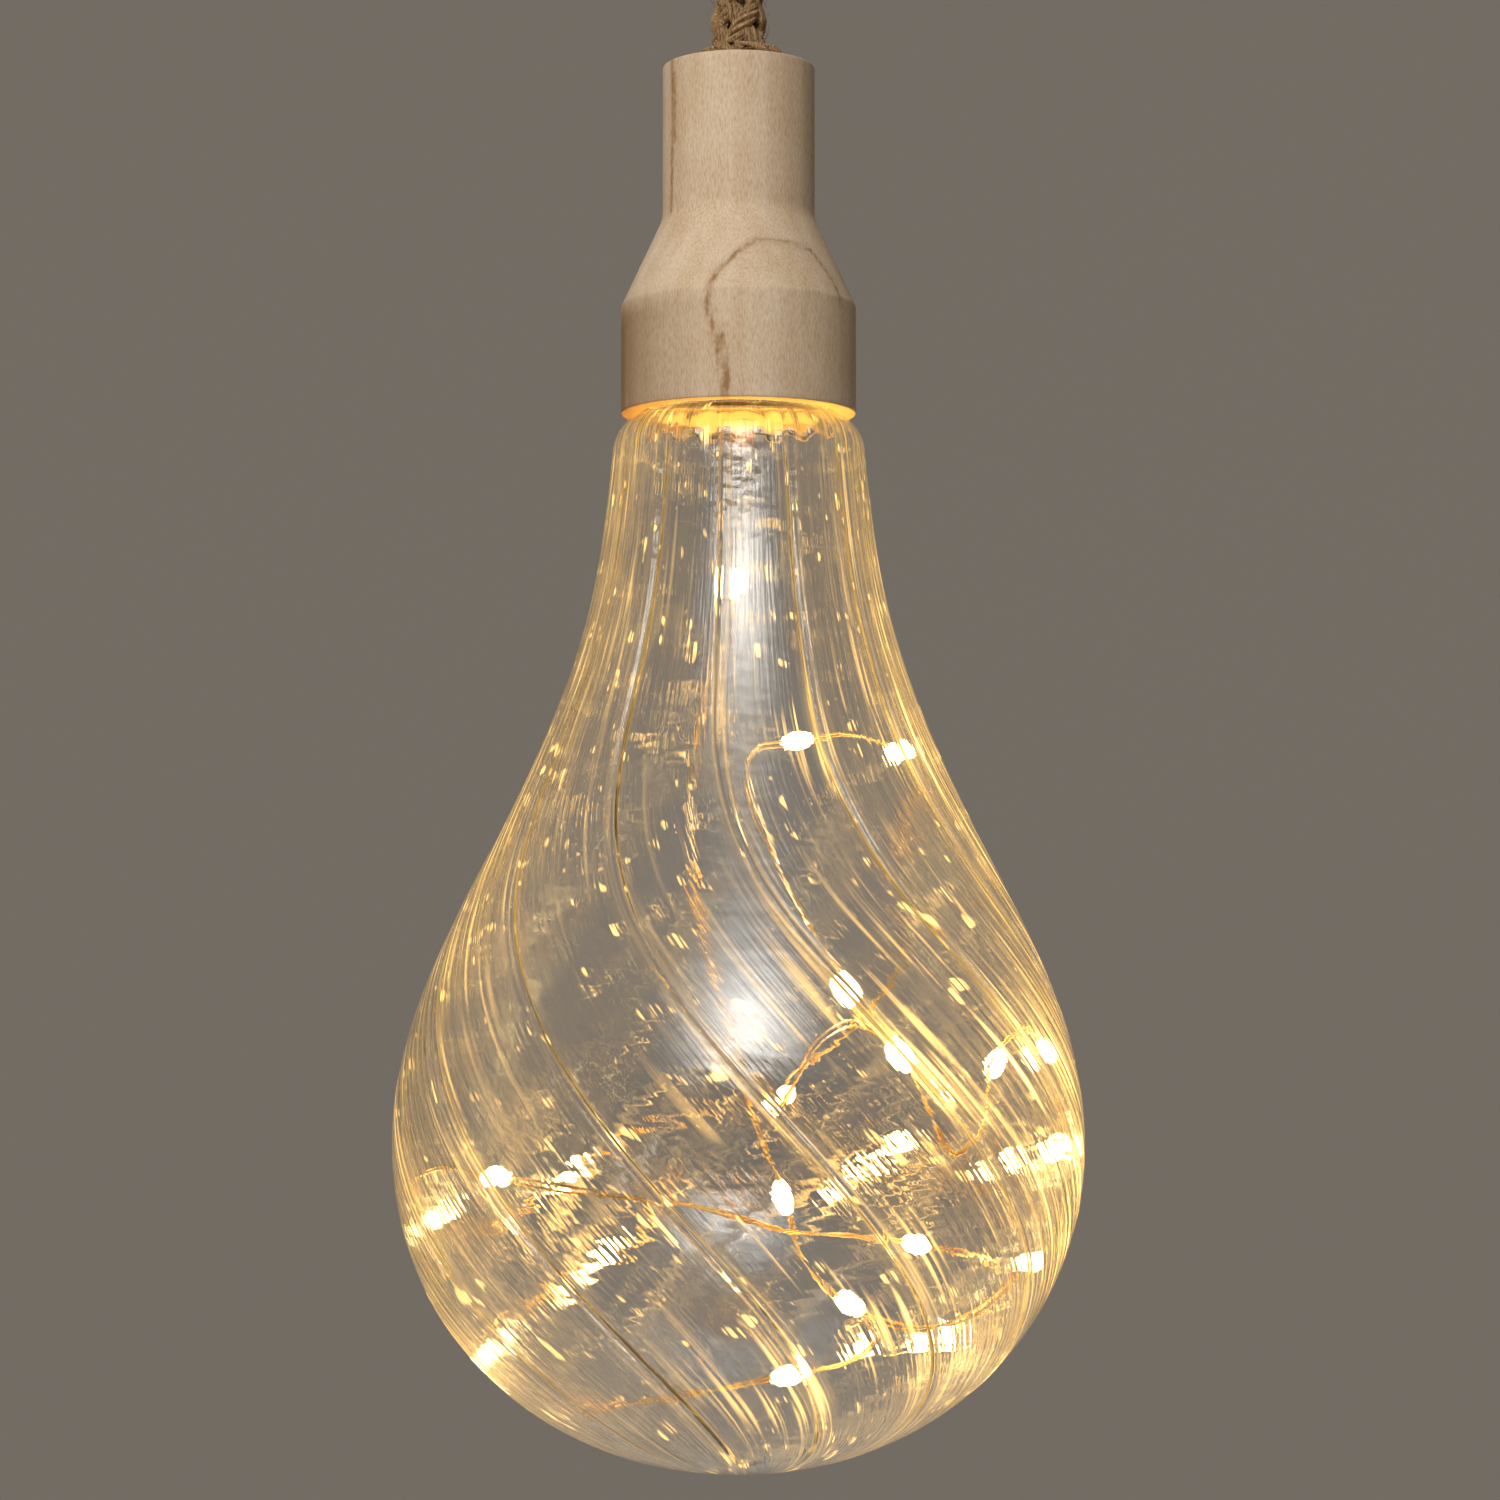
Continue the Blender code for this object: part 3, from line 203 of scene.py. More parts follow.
def finish_piece(piece, material, body, sharp=math.radians(40), replaced=()):
    """Shade a piece, give it its material and slot, and let it ride on its body."""
    make_active(piece)
    bpy.ops.object.shade_smooth_by_angle(angle=sharp)
    piece.data.materials.clear()
    piece.data.materials.append(material)
    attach(piece, body)
    if replaced:
        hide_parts(*replaced)
    return piece


def rounded(corners, steps=6):
    """An outline whose corners are softened: each corner is (radius, height, softening)."""
    outline = []
    for i, (x, z, soft) in enumerate(corners):
        here = Vector((x, z))
        before = Vector(corners[i - 1][:2])
        after = Vector(corners[(i + 1) % len(corners)][:2])
        if soft == 0:
            outline.append((x, z))
            continue
        inward = (before - here).normalized()
        onward = (after - here).normalized()
        half = inward.angle(onward) / 2
        centre = here + (inward + onward).normalized() * soft / math.sin(half)
        first = here + inward * soft / math.tan(half) - centre
        turn = first.angle_signed(here + onward * soft / math.tan(half) - centre)
        for k in range(steps + 1):
            point = centre + Matrix.Rotation(-turn * k / steps, 2) @ first
            outline.append((max(point.x, 0), point.y))
    return outline


def spin(piece, steps, merge=1e-6, inside=False):
    """Spin a piece's outline about the lamp's axis, merge its seam and poles, and face it one way."""
    make_active(piece)
    bpy.ops.object.mode_set(mode="EDIT")
    bpy.ops.mesh.select_all(action="SELECT")
    bpy.ops.mesh.spin(steps=steps, angle=FULL_TURN, center=(0, 0, 0), axis=(0, 0, 1))
    bpy.ops.mesh.select_all(action="SELECT")
    bpy.ops.mesh.remove_doubles(threshold=merge)
    bpy.ops.mesh.normals_make_consistent(inside=inside)
    bpy.ops.object.mode_set(mode="OBJECT")


def lathe(name, outline, steps):
    """Spin a closed outline of (radius, height) points about the lamp's axis."""
    points = [(radius, 0, height) for radius, height in outline]
    edges = [(i, i + 1) for i in range(len(points) - 1)]
    if outline[0][0] > 1e-6 or outline[-1][0] > 1e-6:
        edges.append((len(points) - 1, 0))
    piece = mesh_piece(name, points, [], edges)
    spin(piece, steps)
    return piece


def copy_piece(form, name, place):
    """A copy of a form with a mesh of its own, put in its place by a matrix."""
    mesh = form.data.copy()
    mesh.transform(place)
    piece = bpy.data.objects.new(name, mesh)
    bpy.context.scene.collection.objects.link(piece)
    return piece


def store(piece, **rows):
    """Keep one number for each vertex of a piece under each name, for its material to read."""
    for name, values in rows.items():
        kept = piece.data.attributes.new(name, "FLOAT", "POINT")
        kept.data.foreach_set("value", values)


def refine(outline, step):
    """The same outline with no stretch longer than a step."""
    finer = [outline[0]]
    for before, after in zip(outline, outline[1:]):
        count = max(1, math.ceil(math.dist(before, after) / step))
        for k in range(1, count + 1):
            share = k / count
            finer.append((before[0] + share * (after[0] - before[0]),
                          before[1] + share * (after[1] - before[1])))
    return finer


def tubes(name, paths, radii, resolution=2):
    """Round cords along lists of points: curves with a round bevel and closed ends, made into one mesh.
    Each has one radius, or one for each of its points."""
    data = bpy.data.curves.new(name, "CURVE")
    data.dimensions = "3D"
    data.bevel_depth = 1
    data.bevel_resolution = resolution
    data.use_fill_caps = True
    for path, radius in zip(paths, radii):
        spline = data.splines.new("POLY")
        spline.points.add(len(path) - 1)
        sizes = radius if hasattr(radius, "__len__") else [radius] * len(path)
        for point, place, size in zip(spline.points, path, sizes):
            point.co = (*place, 1)
            point.radius = size
    piece = bpy.data.objects.new(name, data)
    bpy.context.scene.collection.objects.link(piece)
    make_active(piece)
    bpy.ops.object.convert(target="MESH")
    return bpy.context.object


def carve(piece, cutter):
    """Cut one piece's form out of another, and take the cutter away."""
    make_active(piece)
    cut = piece.modifiers.new("carving", "BOOLEAN")
    cut.operation = "DIFFERENCE"
    cut.object = cutter
    bpy.ops.object.modifier_apply(modifier=cut.name)
    bpy.data.objects.remove(cutter, do_unlink=True)


def side_vectors(path):
    """Unit vectors along a path and two across it, which turn as little as they can."""
    along = np.gradient(path, axis=0)
    along /= np.linalg.norm(along, axis=1)[:, None]
    side = np.array((1.0, 0, 0)) if abs(along[0][0]) < 0.9 else np.array((0, 1.0, 0))
    sides = []
    for heading in along:
        side = side - heading * side.dot(heading)
        side = side / np.linalg.norm(side)
        sides.append(side)
    sides = np.array(sides)
    return along, sides, np.cross(along, sides)


# Glass outline

def outline_slopes(xs, ys, first, last):
    """Slopes of the smoothest curve through the points, with its two end slopes given."""
    count = len(xs)
    gaps = np.diff(xs)
    table = np.zeros((count, count))
    wanted = np.zeros(count)
    table[0, 0] = table[-1, -1] = 1
    wanted[0], wanted[-1] = first, last
    for i in range(1, count - 1):
        table[i, i - 1:i + 2] = 1 / gaps[i - 1], 2 / gaps[i - 1] + 2 / gaps[i], 1 / gaps[i]
        wanted[i] = 3 * ((ys[i] - ys[i - 1]) / gaps[i - 1] ** 2 + (ys[i + 1] - ys[i]) / gaps[i] ** 2)
    return np.linalg.solve(table, wanted)


OUTLINE_X = np.array([SHOULDER_DEPTH] + [GLASS_DROP * d for d, r in GLASS_OUTLINE] + [BELLY_DEPTH])
OUTLINE_Y = np.array([SHOULDER_START + SHOULDER_WIDTH] + [GLASS_RADIUS * r for d, r in GLASS_OUTLINE]
                     + [GLASS_RADIUS])
OUTLINE_SLOPE = outline_slopes(OUTLINE_X, OUTLINE_Y, WAIST_SLOPE, 0)


def glass_radius(depth):
    """Outer radius of the plain glass at a depth below the rim of the cap."""
    if depth < SHOULDER_DEPTH:
        share = min(1, (SHOULDER_DEPTH - depth) / SHOULDER_HEIGHT)
        return SHOULDER_START + SHOULDER_WIDTH * math.sqrt(1 - share ** 2)
    if depth >= BELLY_DEPTH:
        share = min(1, (depth - BELLY_DEPTH) / (GLASS_DROP - BELLY_DEPTH))
        return GLASS_RADIUS * (1 - share ** BELLY_FULLNESS) ** (1 / BELLY_FULLNESS)
    i = int(np.searchsorted(OUTLINE_X, depth, side="right")) - 1
    gap = OUTLINE_X[i + 1] - OUTLINE_X[i]
    u = (depth - OUTLINE_X[i]) / gap
    return ((2 * u ** 3 - 3 * u ** 2 + 1) * OUTLINE_Y[i] + (u ** 3 - 2 * u ** 2 + u) * gap * OUTLINE_SLOPE[i]
            + (3 * u ** 2 - 2 * u ** 3) * OUTLINE_Y[i + 1] + (u ** 3 - u ** 2) * gap * OUTLINE_SLOPE[i + 1])


def rib_turn(depth):
    """How far the ribs have swirled round at a depth."""
    share = max(0, depth / GLASS_DROP - TWIST_FROM)
    steady = TWIST_STEADY - TWIST_FROM
    return TWIST_GAIN * (share ** 2 if share < steady else steady * (2 * share - steady))


# Blown glass

RIB_COLUMNS = 20               # spun columns for each rib and the plain glass beside it
RIB_HALF_WIDTH = 1.5 * MM
RIB_HALF_ANGLE = math.radians(4)
INNER_RIB = 0.5 * MM
OUTER_RIB = 0.12 * MM
# Where the painted light lies on each rib's flank.
FLANK_PLACE = 0.72             # of the rib's half width, from its crest
FLANK_SPREAD = 0.2
DRAWN_RADIUS = 60 * MM
RIB_FADE = 4 * MM
RIB_POLE = 14 * MM
# How far the painted glow reaches from each lamp.
LAMP_REACH = 12 * MM
FLUTE = 0.45 * MM              # petals of the shoulder, on the inner skin
FLUTE_COUNT = 24
FLUTE_DEPTH = 6 * MM
FLUTE_SPREAD = 4 * MM
CORD_WIDTH = 1.0 * MM
CORD_HEIGHT = 0.09 * MM
RIPPLE_LENGTH = 3 * MM
RIPPLE_HEIGHT = 0.12 * MM
# Sizes of the painted streaks and painted glints in the glass.
THREAD_WIDTH = 1.3 * MM
BUNDLE_WIDTH = 4.5 * MM
DASH_WIDTH = 0.6 * MM
DASH_GROUP = 5 * MM
NECK_FLARE = ((0, 8), (0, 2), (0.15, 0.8), (0.5, 0.1))    # mm out from the neck, and above the cap's rim
SHOULDER_ROWS = 12
WAIST_ROWS = 80
BELLY_ROWS = 36


def glass_material():
    """Clear soda-lime glass, blown in a ribbed mould and twisted: polished by the fire, with fine cords
    drawn out along the ribs and faint ripples across them. Its amber emission is painted light: painted
    streaks in bundles of threads, painted lines along the flanks of the ribs, a painted glow near the lamps
    and at the two sides as seen from the front, and groups of short dashes that are painted glints
    standing for the lamps' reflections in the cords."""
    made, tree, shader = new_material("mould-blown soda-lime glass", "FFFFFF", 0.0, IOR=1.5,
                                      Transmission_Weight=1.0)
    # Painted light: the glass glows amber by emission, though it is no lamp.
    shader.inputs["Emission Color"].default_value = colour("FFC868")
    made.cycles.emission_sampling = "NONE"
    drawn = add_node(tree, "ShaderNodeAttribute", {"attribute_name": "drawn_place"})
    pattern = {}
    for name, stretch, width, detail in (
            ("cords", (1, 1, 0.05), CORD_WIDTH, 2.0), ("ripples", (0.3, 0.3, 1), RIPPLE_LENGTH, 1.0),
            ("threads", (1, 1, 0.03), THREAD_WIDTH, 2.0), ("bundles", (1, 1, 0.14), BUNDLE_WIDTH, 1.0),
            ("dashes", (1, 1, 0.05), DASH_WIDTH, 0.0), ("groups", (0.7, 0.7, 0.9), DASH_GROUP, 1.0)):
        place = add_node(tree, "ShaderNodeMapping", inputs={"Scale": stretch},
                         links={"Vector": drawn.outputs["Vector"]})
        noise = add_node(tree, "ShaderNodeTexNoise", inputs={"Scale": 1 / width, "Detail": detail},
                         links={"Vector": place.outputs["Vector"]})
        pattern[name] = noise.outputs["Fac"]
    pattern["cords"].node.inputs["Roughness"].default_value = 0.45
    raised = add_node(tree, "ShaderNodeBump", inputs={"Strength": 1.0, "Distance": CORD_HEIGHT},
                      links={"Height": pattern["cords"]})
    rippled = add_node(tree, "ShaderNodeBump", inputs={"Strength": 1.0, "Distance": RIPPLE_HEIGHT},
                       links={"Height": pattern["ripples"], "Normal": raised.outputs["Normal"]})
    tree.links.new(rippled.outputs["Normal"], shader.inputs["Normal"])

    # Painted light: amber lines along the rib flanks and a glow that grows near the lamps.
    flank = add_node(tree, "ShaderNodeAttribute", {"attribute_name": "rib_flank"})
    near = add_node(tree, "ShaderNodeAttribute", {"attribute_name": "lamp_nearness"})
    # Painted glow, strongest at the two sides as seen from the front.
    crowd = add_node(tree, "ShaderNodeAttribute", {"attribute_name": "crowded_cords"})
    # Painted amber streaks: fine threads gathered in bundles, brighter near the lamps and at the two sides.
    fine = add_node(tree, "ShaderNodeMapRange", inputs={"From Min": 0.49, "From Max": 0.64},
                    links={"Value": pattern["threads"]})
    broad = add_node(tree, "ShaderNodeMapRange", {"interpolation_type": "SMOOTHSTEP"},
                     {"From Min": 0.56, "From Max": 0.70, "To Max": 1.5}, {"Value": pattern["bundles"]})
    flame = add_node(tree, "ShaderNodeMath", {"operation": "ADD"}, None,
                     {0: near.outputs["Fac"], 1: crowd.outputs["Fac"]})
    flame = add_node(tree, "ShaderNodeMath", {"operation": "MULTIPLY"}, None,
                     {0: flame.outputs["Value"], 1: broad.outputs["Result"]})
    veil = add_node(tree, "ShaderNodeMath", {"operation": "MULTIPLY_ADD"}, {1: 0.35, 2: 0.18},
                    {0: near.outputs["Fac"]})
    veil = add_node(tree, "ShaderNodeMath", {"operation": "MULTIPLY_ADD"}, None,
                    {0: veil.outputs["Value"], 1: crowd.outputs["Fac"], 2: flame.outputs["Value"]})
    streaks = add_node(tree, "ShaderNodeMath", {"operation": "MULTIPLY"}, None,
                       {0: fine.outputs["Result"], 1: veil.outputs["Value"]})

    uneven = add_node(tree, "ShaderNodeMapRange", inputs={"From Min": 0.3, "From Max": 0.6, "To Min": 0.25},
                      links={"Value": pattern["threads"]})
    # Painted lines along the rib flanks and a painted glow near the lamps, added to the painted streaks.
    lines = add_node(tree, "ShaderNodeMath", {"operation": "MULTIPLY"}, None,
                     {0: flank.outputs["Fac"], 1: uneven.outputs["Result"]})
    glow = add_node(tree, "ShaderNodeMath", {"operation": "MULTIPLY_ADD"}, {1: 0.4, 2: 0.1},
                    {0: near.outputs["Fac"]})
    level = add_node(tree, "ShaderNodeMath", {"operation": "MULTIPLY_ADD"}, None,
                     {0: lines.outputs["Value"], 1: glow.outputs["Value"], 2: streaks.outputs["Value"]})

    # Painted glints: groups of short dashes that stand for the lamps' reflections in the cords.
    spots = add_node(tree, "ShaderNodeMapRange", inputs={"From Min": 0.69, "From Max": 0.74, "To Max": 2.0},
                     links={"Value": pattern["groups"]})
    dashes = add_node(tree, "ShaderNodeMapRange", inputs={"From Min": 0.50, "From Max": 0.60},
                      links={"Value": pattern["dashes"]})
    level = add_node(tree, "ShaderNodeMath", {"operation": "MULTIPLY_ADD"}, None,
                     {0: spots.outputs["Result"], 1: dashes.outputs["Result"], 2: level.outputs["Value"]})
    tree.links.new(level.outputs["Value"], shader.inputs["Emission Strength"])
    return made


def glass_rows():
    """Outline of the outside from the neck's rim to the pole, as (radius, depth)."""
    rows = [(GLASS_NECK_RADIUS, -GLASS_NECK_LENGTH)]
    rows += [(GLASS_NECK_RADIUS + out * MM, -above * MM) for out, above in NECK_FLARE]
    for k in range(SHOULDER_ROWS):
        angle = math.pi / 2 * k / SHOULDER_ROWS
        rows.append((SHOULDER_START + SHOULDER_WIDTH * math.sin(angle),
                     SHOULDER_DEPTH - SHOULDER_HEIGHT * math.cos(angle)))
    for k in range(WAIST_ROWS):
        depth = SHOULDER_DEPTH + (BELLY_DEPTH - SHOULDER_DEPTH) * k / WAIST_ROWS
        rows.append((glass_radius(depth), depth))
    for k in range(BELLY_ROWS):
        depth = BELLY_DEPTH + (GLASS_DROP - BELLY_DEPTH) * math.sin(math.pi / 2 * k / BELLY_ROWS)
        rows.append((glass_radius(depth), depth))
    return rows + [(0, GLASS_DROP)]


def inset(rows, wall):
    """Outline of the inside, a wall's thickness in from the outside."""
    inner = []
    for i, (radius, depth) in enumerate(rows):
        before, after = Vector(rows[max(i - 1, 0)]), Vector(rows[min(i + 1, len(rows) - 1)])
        along = (after - before).normalized()
        inner.append((radius - wall * along.y, depth + wall * along.x))
    inner[0] = (rows[0][0] - wall, rows[0][1])
    inner[-1] = (0, rows[-1][1] - wall)
    return inner


def column_angles(half):
    """Angles of a rib's columns from its crest: close together on the rib, and wider beside it."""
    on_rib = [half * k / 6 for k in range(-6, 6)]
    beside = RIB_COLUMNS - len(on_rib)
    gap = FULL_TURN / RIB_COUNT - 2 * half
    return on_rib + [half + gap * k / beside for k in range(beside)]


def swirl_ribs(glass, outline, outer_count, lamp_places):
    """Gather the spun columns on the ribs, raise the ribs, and twist them round the belly. Each vertex
    keeps its place before the twist, whether it is on a rib's flank, how near the lamps are, and how
    strong a painted glow is there, which is most at the two sides as seen from the front."""
    step = FULL_TURN / (RIB_COUNT * RIB_COLUMNS)
    places = np.array(outline)
    drawn, flanks, nearness, side_glow_values = [], [], [], []
    for vertex in glass.data.vertices:
        x, y, height = vertex.co
        radius = math.hypot(x, y)
        depth = CAP_RIM_Z - height
        row = int(np.argmin((places[:, 0] - radius) ** 2 + (places[:, 1] - height) ** 2))
        inside = row >= outer_count
        skin = 2 * GLASS_DROP if inside else 0
        if radius < 1e-6:
            drawn += [0, 0, skin + depth]
            flanks.append(0)
            nearness.append(0)
            side_glow_values.append(0)
            continue
        rib, column = divmod(round(math.atan2(y, x) / step) % (RIB_COUNT * RIB_COLUMNS), RIB_COLUMNS)
        half = min(RIB_HALF_ANGLE, RIB_HALF_WIDTH / radius)
        from_crest = column_angles(half)[column]
        angle = rib * FULL_TURN / RIB_COUNT + from_crest
        fade = min(1, max(0, depth / RIB_FADE)) * min(1, radius / RIB_POLE)
        rise = 0.5 * (1 + math.cos(math.pi * from_crest / half)) if abs(from_crest) < half else 0
        radius += (-INNER_RIB if inside else OUTER_RIB) * fade * rise
        if inside:
            fullness = math.exp(-((depth - FLUTE_DEPTH) / FLUTE_SPREAD) ** 2)
            radius += FLUTE * fullness * math.cos(FLUTE_COUNT * angle)
        turn = RIB_START + angle + rib_turn(depth)
        vertex.co = (radius * math.sin(turn), -radius * math.cos(turn), height)
        drawn += [DRAWN_RADIUS * math.sin(angle), DRAWN_RADIUS * math.cos(angle), skin + depth]
        flanks.append(fade * math.exp(-((abs(from_crest) / half - FLANK_PLACE) / FLANK_SPREAD) ** 2))
        # Painted glow, strongest at the two sides as seen from the front.
        side_glow_values.append(math.sin(turn) ** 4)
        # How near the lamps are, from which the material paints a glow.
        gaps = np.linalg.norm(lamp_places - np.array(vertex.co), axis=1)
        nearness.append(min(2, float((LAMP_REACH ** 3 / (gaps ** 3 + (0.5 * LAMP_REACH) ** 3)).sum())))
    place = glass.data.attributes.new("drawn_place", "FLOAT_VECTOR", "POINT")
    place.data.foreach_set("vector", drawn)
    store(glass, rib_flank=flanks, lamp_nearness=nearness, crowded_cords=side_glow_values)


def make_glass(lamp_places):
    """The drop with both its skins, spun as one closed shell and then ribbed and twisted."""
    rows = glass_rows()
    outline = [(radius, CAP_RIM_Z - depth) for radius, depth in rows + inset(rows, GLASS_WALL)[::-1]]
    glass = lathe("glass_drop", outline, RIB_COUNT * RIB_COLUMNS)
    swirl_ribs(glass, outline, len(rows), lamp_places)
    make_active(glass)
    bpy.ops.object.mode_set(mode="EDIT")
    bpy.ops.mesh.select_all(action="SELECT")
    bpy.ops.mesh.normals_make_consistent(inside=False)
    bpy.ops.object.mode_set(mode="OBJECT")
    finish_piece(glass, glass_material(), "lamp", sharp=math.radians(60),
                 replaced=("glass_bulb",))
    glass.visible_shadow = False
    glass.visible_diffuse = False


# Copper wire and its lamps

WIRE_STEP = 2 * MM
STRAND_RADIUS = 0.27 * MM
STRAND_APART = 0.42 * MM
STRAND_LAY = 55 * MM
LAY_SWAY = 1.7                 # radians that the lay runs ahead or behind, over a length of its own
LAY_SWAY_LENGTH = 31 * MM
GAP_SWAY = 0.35                # share by which the strands' gap changes
GAP_SWAY_LENGTH = 17 * MM
PARTED_AT = 22 * MM            # place along the wire where its strands part most, in the neck
PARTED_REACH = 12 * MM
PARTED_GAP = 1.1 * MM
WIRE_LEAD_IN = 5 * MM
INNER_RIB_ALLOWANCE = 0.6 * MM
LED_DIAMETER = 3.4 * MM
LED_LENGTH = 7.4 * MM
LED_CLEARANCE = 0.7 * MM
LAMP_DROP_RADIUS = 1.95 * MM
LAMP_LIGHT = "FFCD70"
LAMP_LIGHT_SIZE = 2 * MM
LAMP_POWER = 0.25              # watts
# Route of the wire: angle from the front in degrees, percent down the glass, percent out to its wall,
# and 1 where a lamp sits.
WIRE_ROUTE = (
    (9, 3, 20, 0), (6, 8, 20, 0), (-1, 13, 23, 0), (-9, 17, 28, 1), (-19, 23, 45, 0),
    (-27, 29, 48, 0), (-33, 36, 44, 0), (-27, 42, 44, 0), (-18, 48, 48, 0), (-6, 55, 60, 0),
    (0, 61, 75, 0), (4, 67, 89, 0), (8, 72, 94, 1), (11, 77, 94, 0), (16, 80, 94, 0),
    (22, 82, 96, 1), (34, 84, 98, 0), (47, 84, 99, 0), (57, 82, 100, 0), (68, 79, 100, 1),
    (98, 77, 100, 0), (124, 75, 99, 0), (142, 74, 98, 0), (158, 75, 98, 1), (174, 76, 98, 0),
    (188, 76, 98, 0), (196, 74, 96, 0), (198, 78, 94, 0), (202, 81, 97, 0), (214, 83, 99, 1),
    (234, 86, 100, 0), (259, 87, 100, 0), (278, 88, 100, 1), (298, 91, 99, 0), (316, 92, 98, 0),
    (347, 90, 98, 0), (371, 88, 98, 1), (384, 87, 98, 0), (391, 85, 92, 0), (396, 84, 72, 0),
    (412, 86, 50, 0), (445, 89, 50, 1), (470, 90, 78, 0), (478, 89, 94, 1), (464, 86, 98, 0),
    (440, 82, 92, 0), (426, 80, 91, 0), (412, 78.5, 94, 0), (402, 77.5, 98, 0), (391, 76.5, 100, 1),
    (379, 75.5, 100, 0), (368, 75, 100, 0), (354, 73, 100, 0), (337, 72, 100, 0), (317, 71, 100, 1),
    (303, 70.5, 100, 0), (290, 71.5, 100, 0), (276, 74, 100, 0), (264, 77, 100, 1), (250, 78.5, 97, 0),
    (236, 78, 94, 0), (226, 76, 93, 0), (217, 74, 96, 1), (200, 70, 98, 0), (178, 67, 98, 0),
    (162, 71, 100, 0), (149, 72, 100, 1), (138, 71, 100, 0), (120, 72.5, 98, 1), (102, 73, 100, 0),
    (86, 70, 100, 1), (78, 65, 100, 0), (72, 60, 100, 1), (62, 58.5, 99, 0), (50, 61, 99, 1),
    (47, 66, 98, 0), (40, 69, 96, 0), (35, 65, 96, 0), (30, 60, 98, 1), (22, 57.5, 98, 0),
    (15, 59, 94, 0), (11, 62.5, 88, 0), (9, 65, 80, 1), (17, 62, 60, 0), (60, 57, 48, 0),
    (105, 50, 66, 0), (122, 43, 88, 0), (108, 36.5, 98, 0), (64, 33, 99, 1), (38, 31.5, 97, 0),
    (22, 32.5, 94, 1), (6, 33, 92, 0), (3, 36.5, 88, 0), (9, 42, 86, 0), (17, 49, 86, 0),
    (24, 55, 86, 1), (28, 58, 86, 0),
)


def wire_point(angle, down, out):
    """A point inside the glass, from its angle and its percentages down and out."""
    depth = GLASS_DROP * down / 100
    wall_slope = (glass_radius(depth + MM) - glass_radius(depth - MM)) / (2 * MM)
    margin = GLASS_WALL + INNER_RIB_ALLOWANCE + LED_CLEARANCE + LED_DIAMETER / 2
    room = glass_radius(depth) - margin * math.sqrt(1 + wall_slope ** 2)
    radius = room * out / 100
    turn = math.radians(angle)
    return np.array((radius * math.sin(turn), -radius * math.cos(turn), CAP_RIM_Z - depth))


def wire_course():
    """Fine points of the wire from the plug to its end, and the place of each lamp along it."""
    knots = [Vector(p[:3]) for p in WIRE_ROUTE]
    knots = [2 * knots[0] - knots[1], *knots, 2 * knots[-1] - knots[-2]]
    top = Vector((0, 0, plug_low.z))
    fine = [np.array(top - Vector((0, 0, WIRE_LEAD_IN * k / 2))) for k in range(3)]
    marks = []
    for i in range(1, len(knots) - 2):
        a, b, c, d = knots[i - 1:i + 3]
        if WIRE_ROUTE[i - 1][3]:
            marks.append(len(fine))
        for k in range(10):
            t = k / 10
            mixed = 0.5 * ((2 * b) + (c - a) * t + (2 * a - 5 * b + 4 * c - d) * t * t
                           + (3 * b - a - 3 * c + d) * t ** 3)
            fine.append(wire_point(mixed.x, mixed.y, min(mixed.z, 100)))
    fine.append(wire_point(*knots[-2]))
    fine = np.array(fine)
    lengths = np.concatenate([[0], np.cumsum(np.linalg.norm(np.diff(fine, axis=0), axis=1))])
    stops = np.arange(0, lengths[-1], WIRE_STEP)
    course = np.column_stack([np.interp(stops, lengths, fine[:, axis]) for axis in range(3)])
    return course, [lengths[m] for m in marks]


def wire_material():
    """Enamelled copper wire, drawn: bright metal under clear lacquer, which gives a warm orange gleam."""
    made, tree, shader = new_material("enamelled drawn copper wire", "F2D08C", 0.2, Metallic=1.0,
                                      Coat_Weight=0.6, Coat_Roughness=0.1)
    place = add_node(tree, "ShaderNodeTexCoord")
    patches = add_node(tree, "ShaderNodeTexNoise", inputs={"Scale": 1 / (6 * MM)},
                       links={"Vector": place.outputs["Object"]})
    tint = add_node(tree, "ShaderNodeValToRGB", links={"Fac": patches.outputs["Fac"]},
                    stops=((0.35, "DDB066"), (0.65, "FAE0A8")))
    tree.links.new(tint.outputs["Color"], shader.inputs["Base Color"])
    return made


def lamp_material():
    """Lit lamp in clear epoxy resin, cast: the whole drop glows warm white."""
    made, _, shader = new_material("cast epoxy over a lit lamp", "FFE2AE", 0.12, Emission_Strength=200.0)
    shader.inputs["Emission Color"].default_value = colour("FFDB8C")
    made.cycles.emission_sampling = "NONE"
    return made


def make_wire():
    """Two fine strands that lie side by side, turn round each other now and then, and part in the neck."""
    course, marks = wire_course()
    side, up = side_vectors(course)[1:]
    lengths = np.arange(len(course)) * WIRE_STEP
    neck = np.exp(-((lengths - PARTED_AT) / PARTED_REACH) ** 2)
    angle = (FULL_TURN * lengths / STRAND_LAY + LAY_SWAY * np.sin(lengths / LAY_SWAY_LENGTH)) * (1 - neck)
    apart = STRAND_APART * (1 + GAP_SWAY * np.sin(lengths / GAP_SWAY_LENGTH)) + PARTED_GAP * neck
    shift = apart[:, None] * (np.cos(angle)[:, None] * side + np.sin(angle)[:, None] * up)
    wire = tubes("copper_wire_pair", [course + shift, course - shift], [STRAND_RADIUS] * 2)
    finish_piece(wire, wire_material(), "lamp", replaced=("led_wire",))
    wire.visible_diffuse = False
    return course, marks


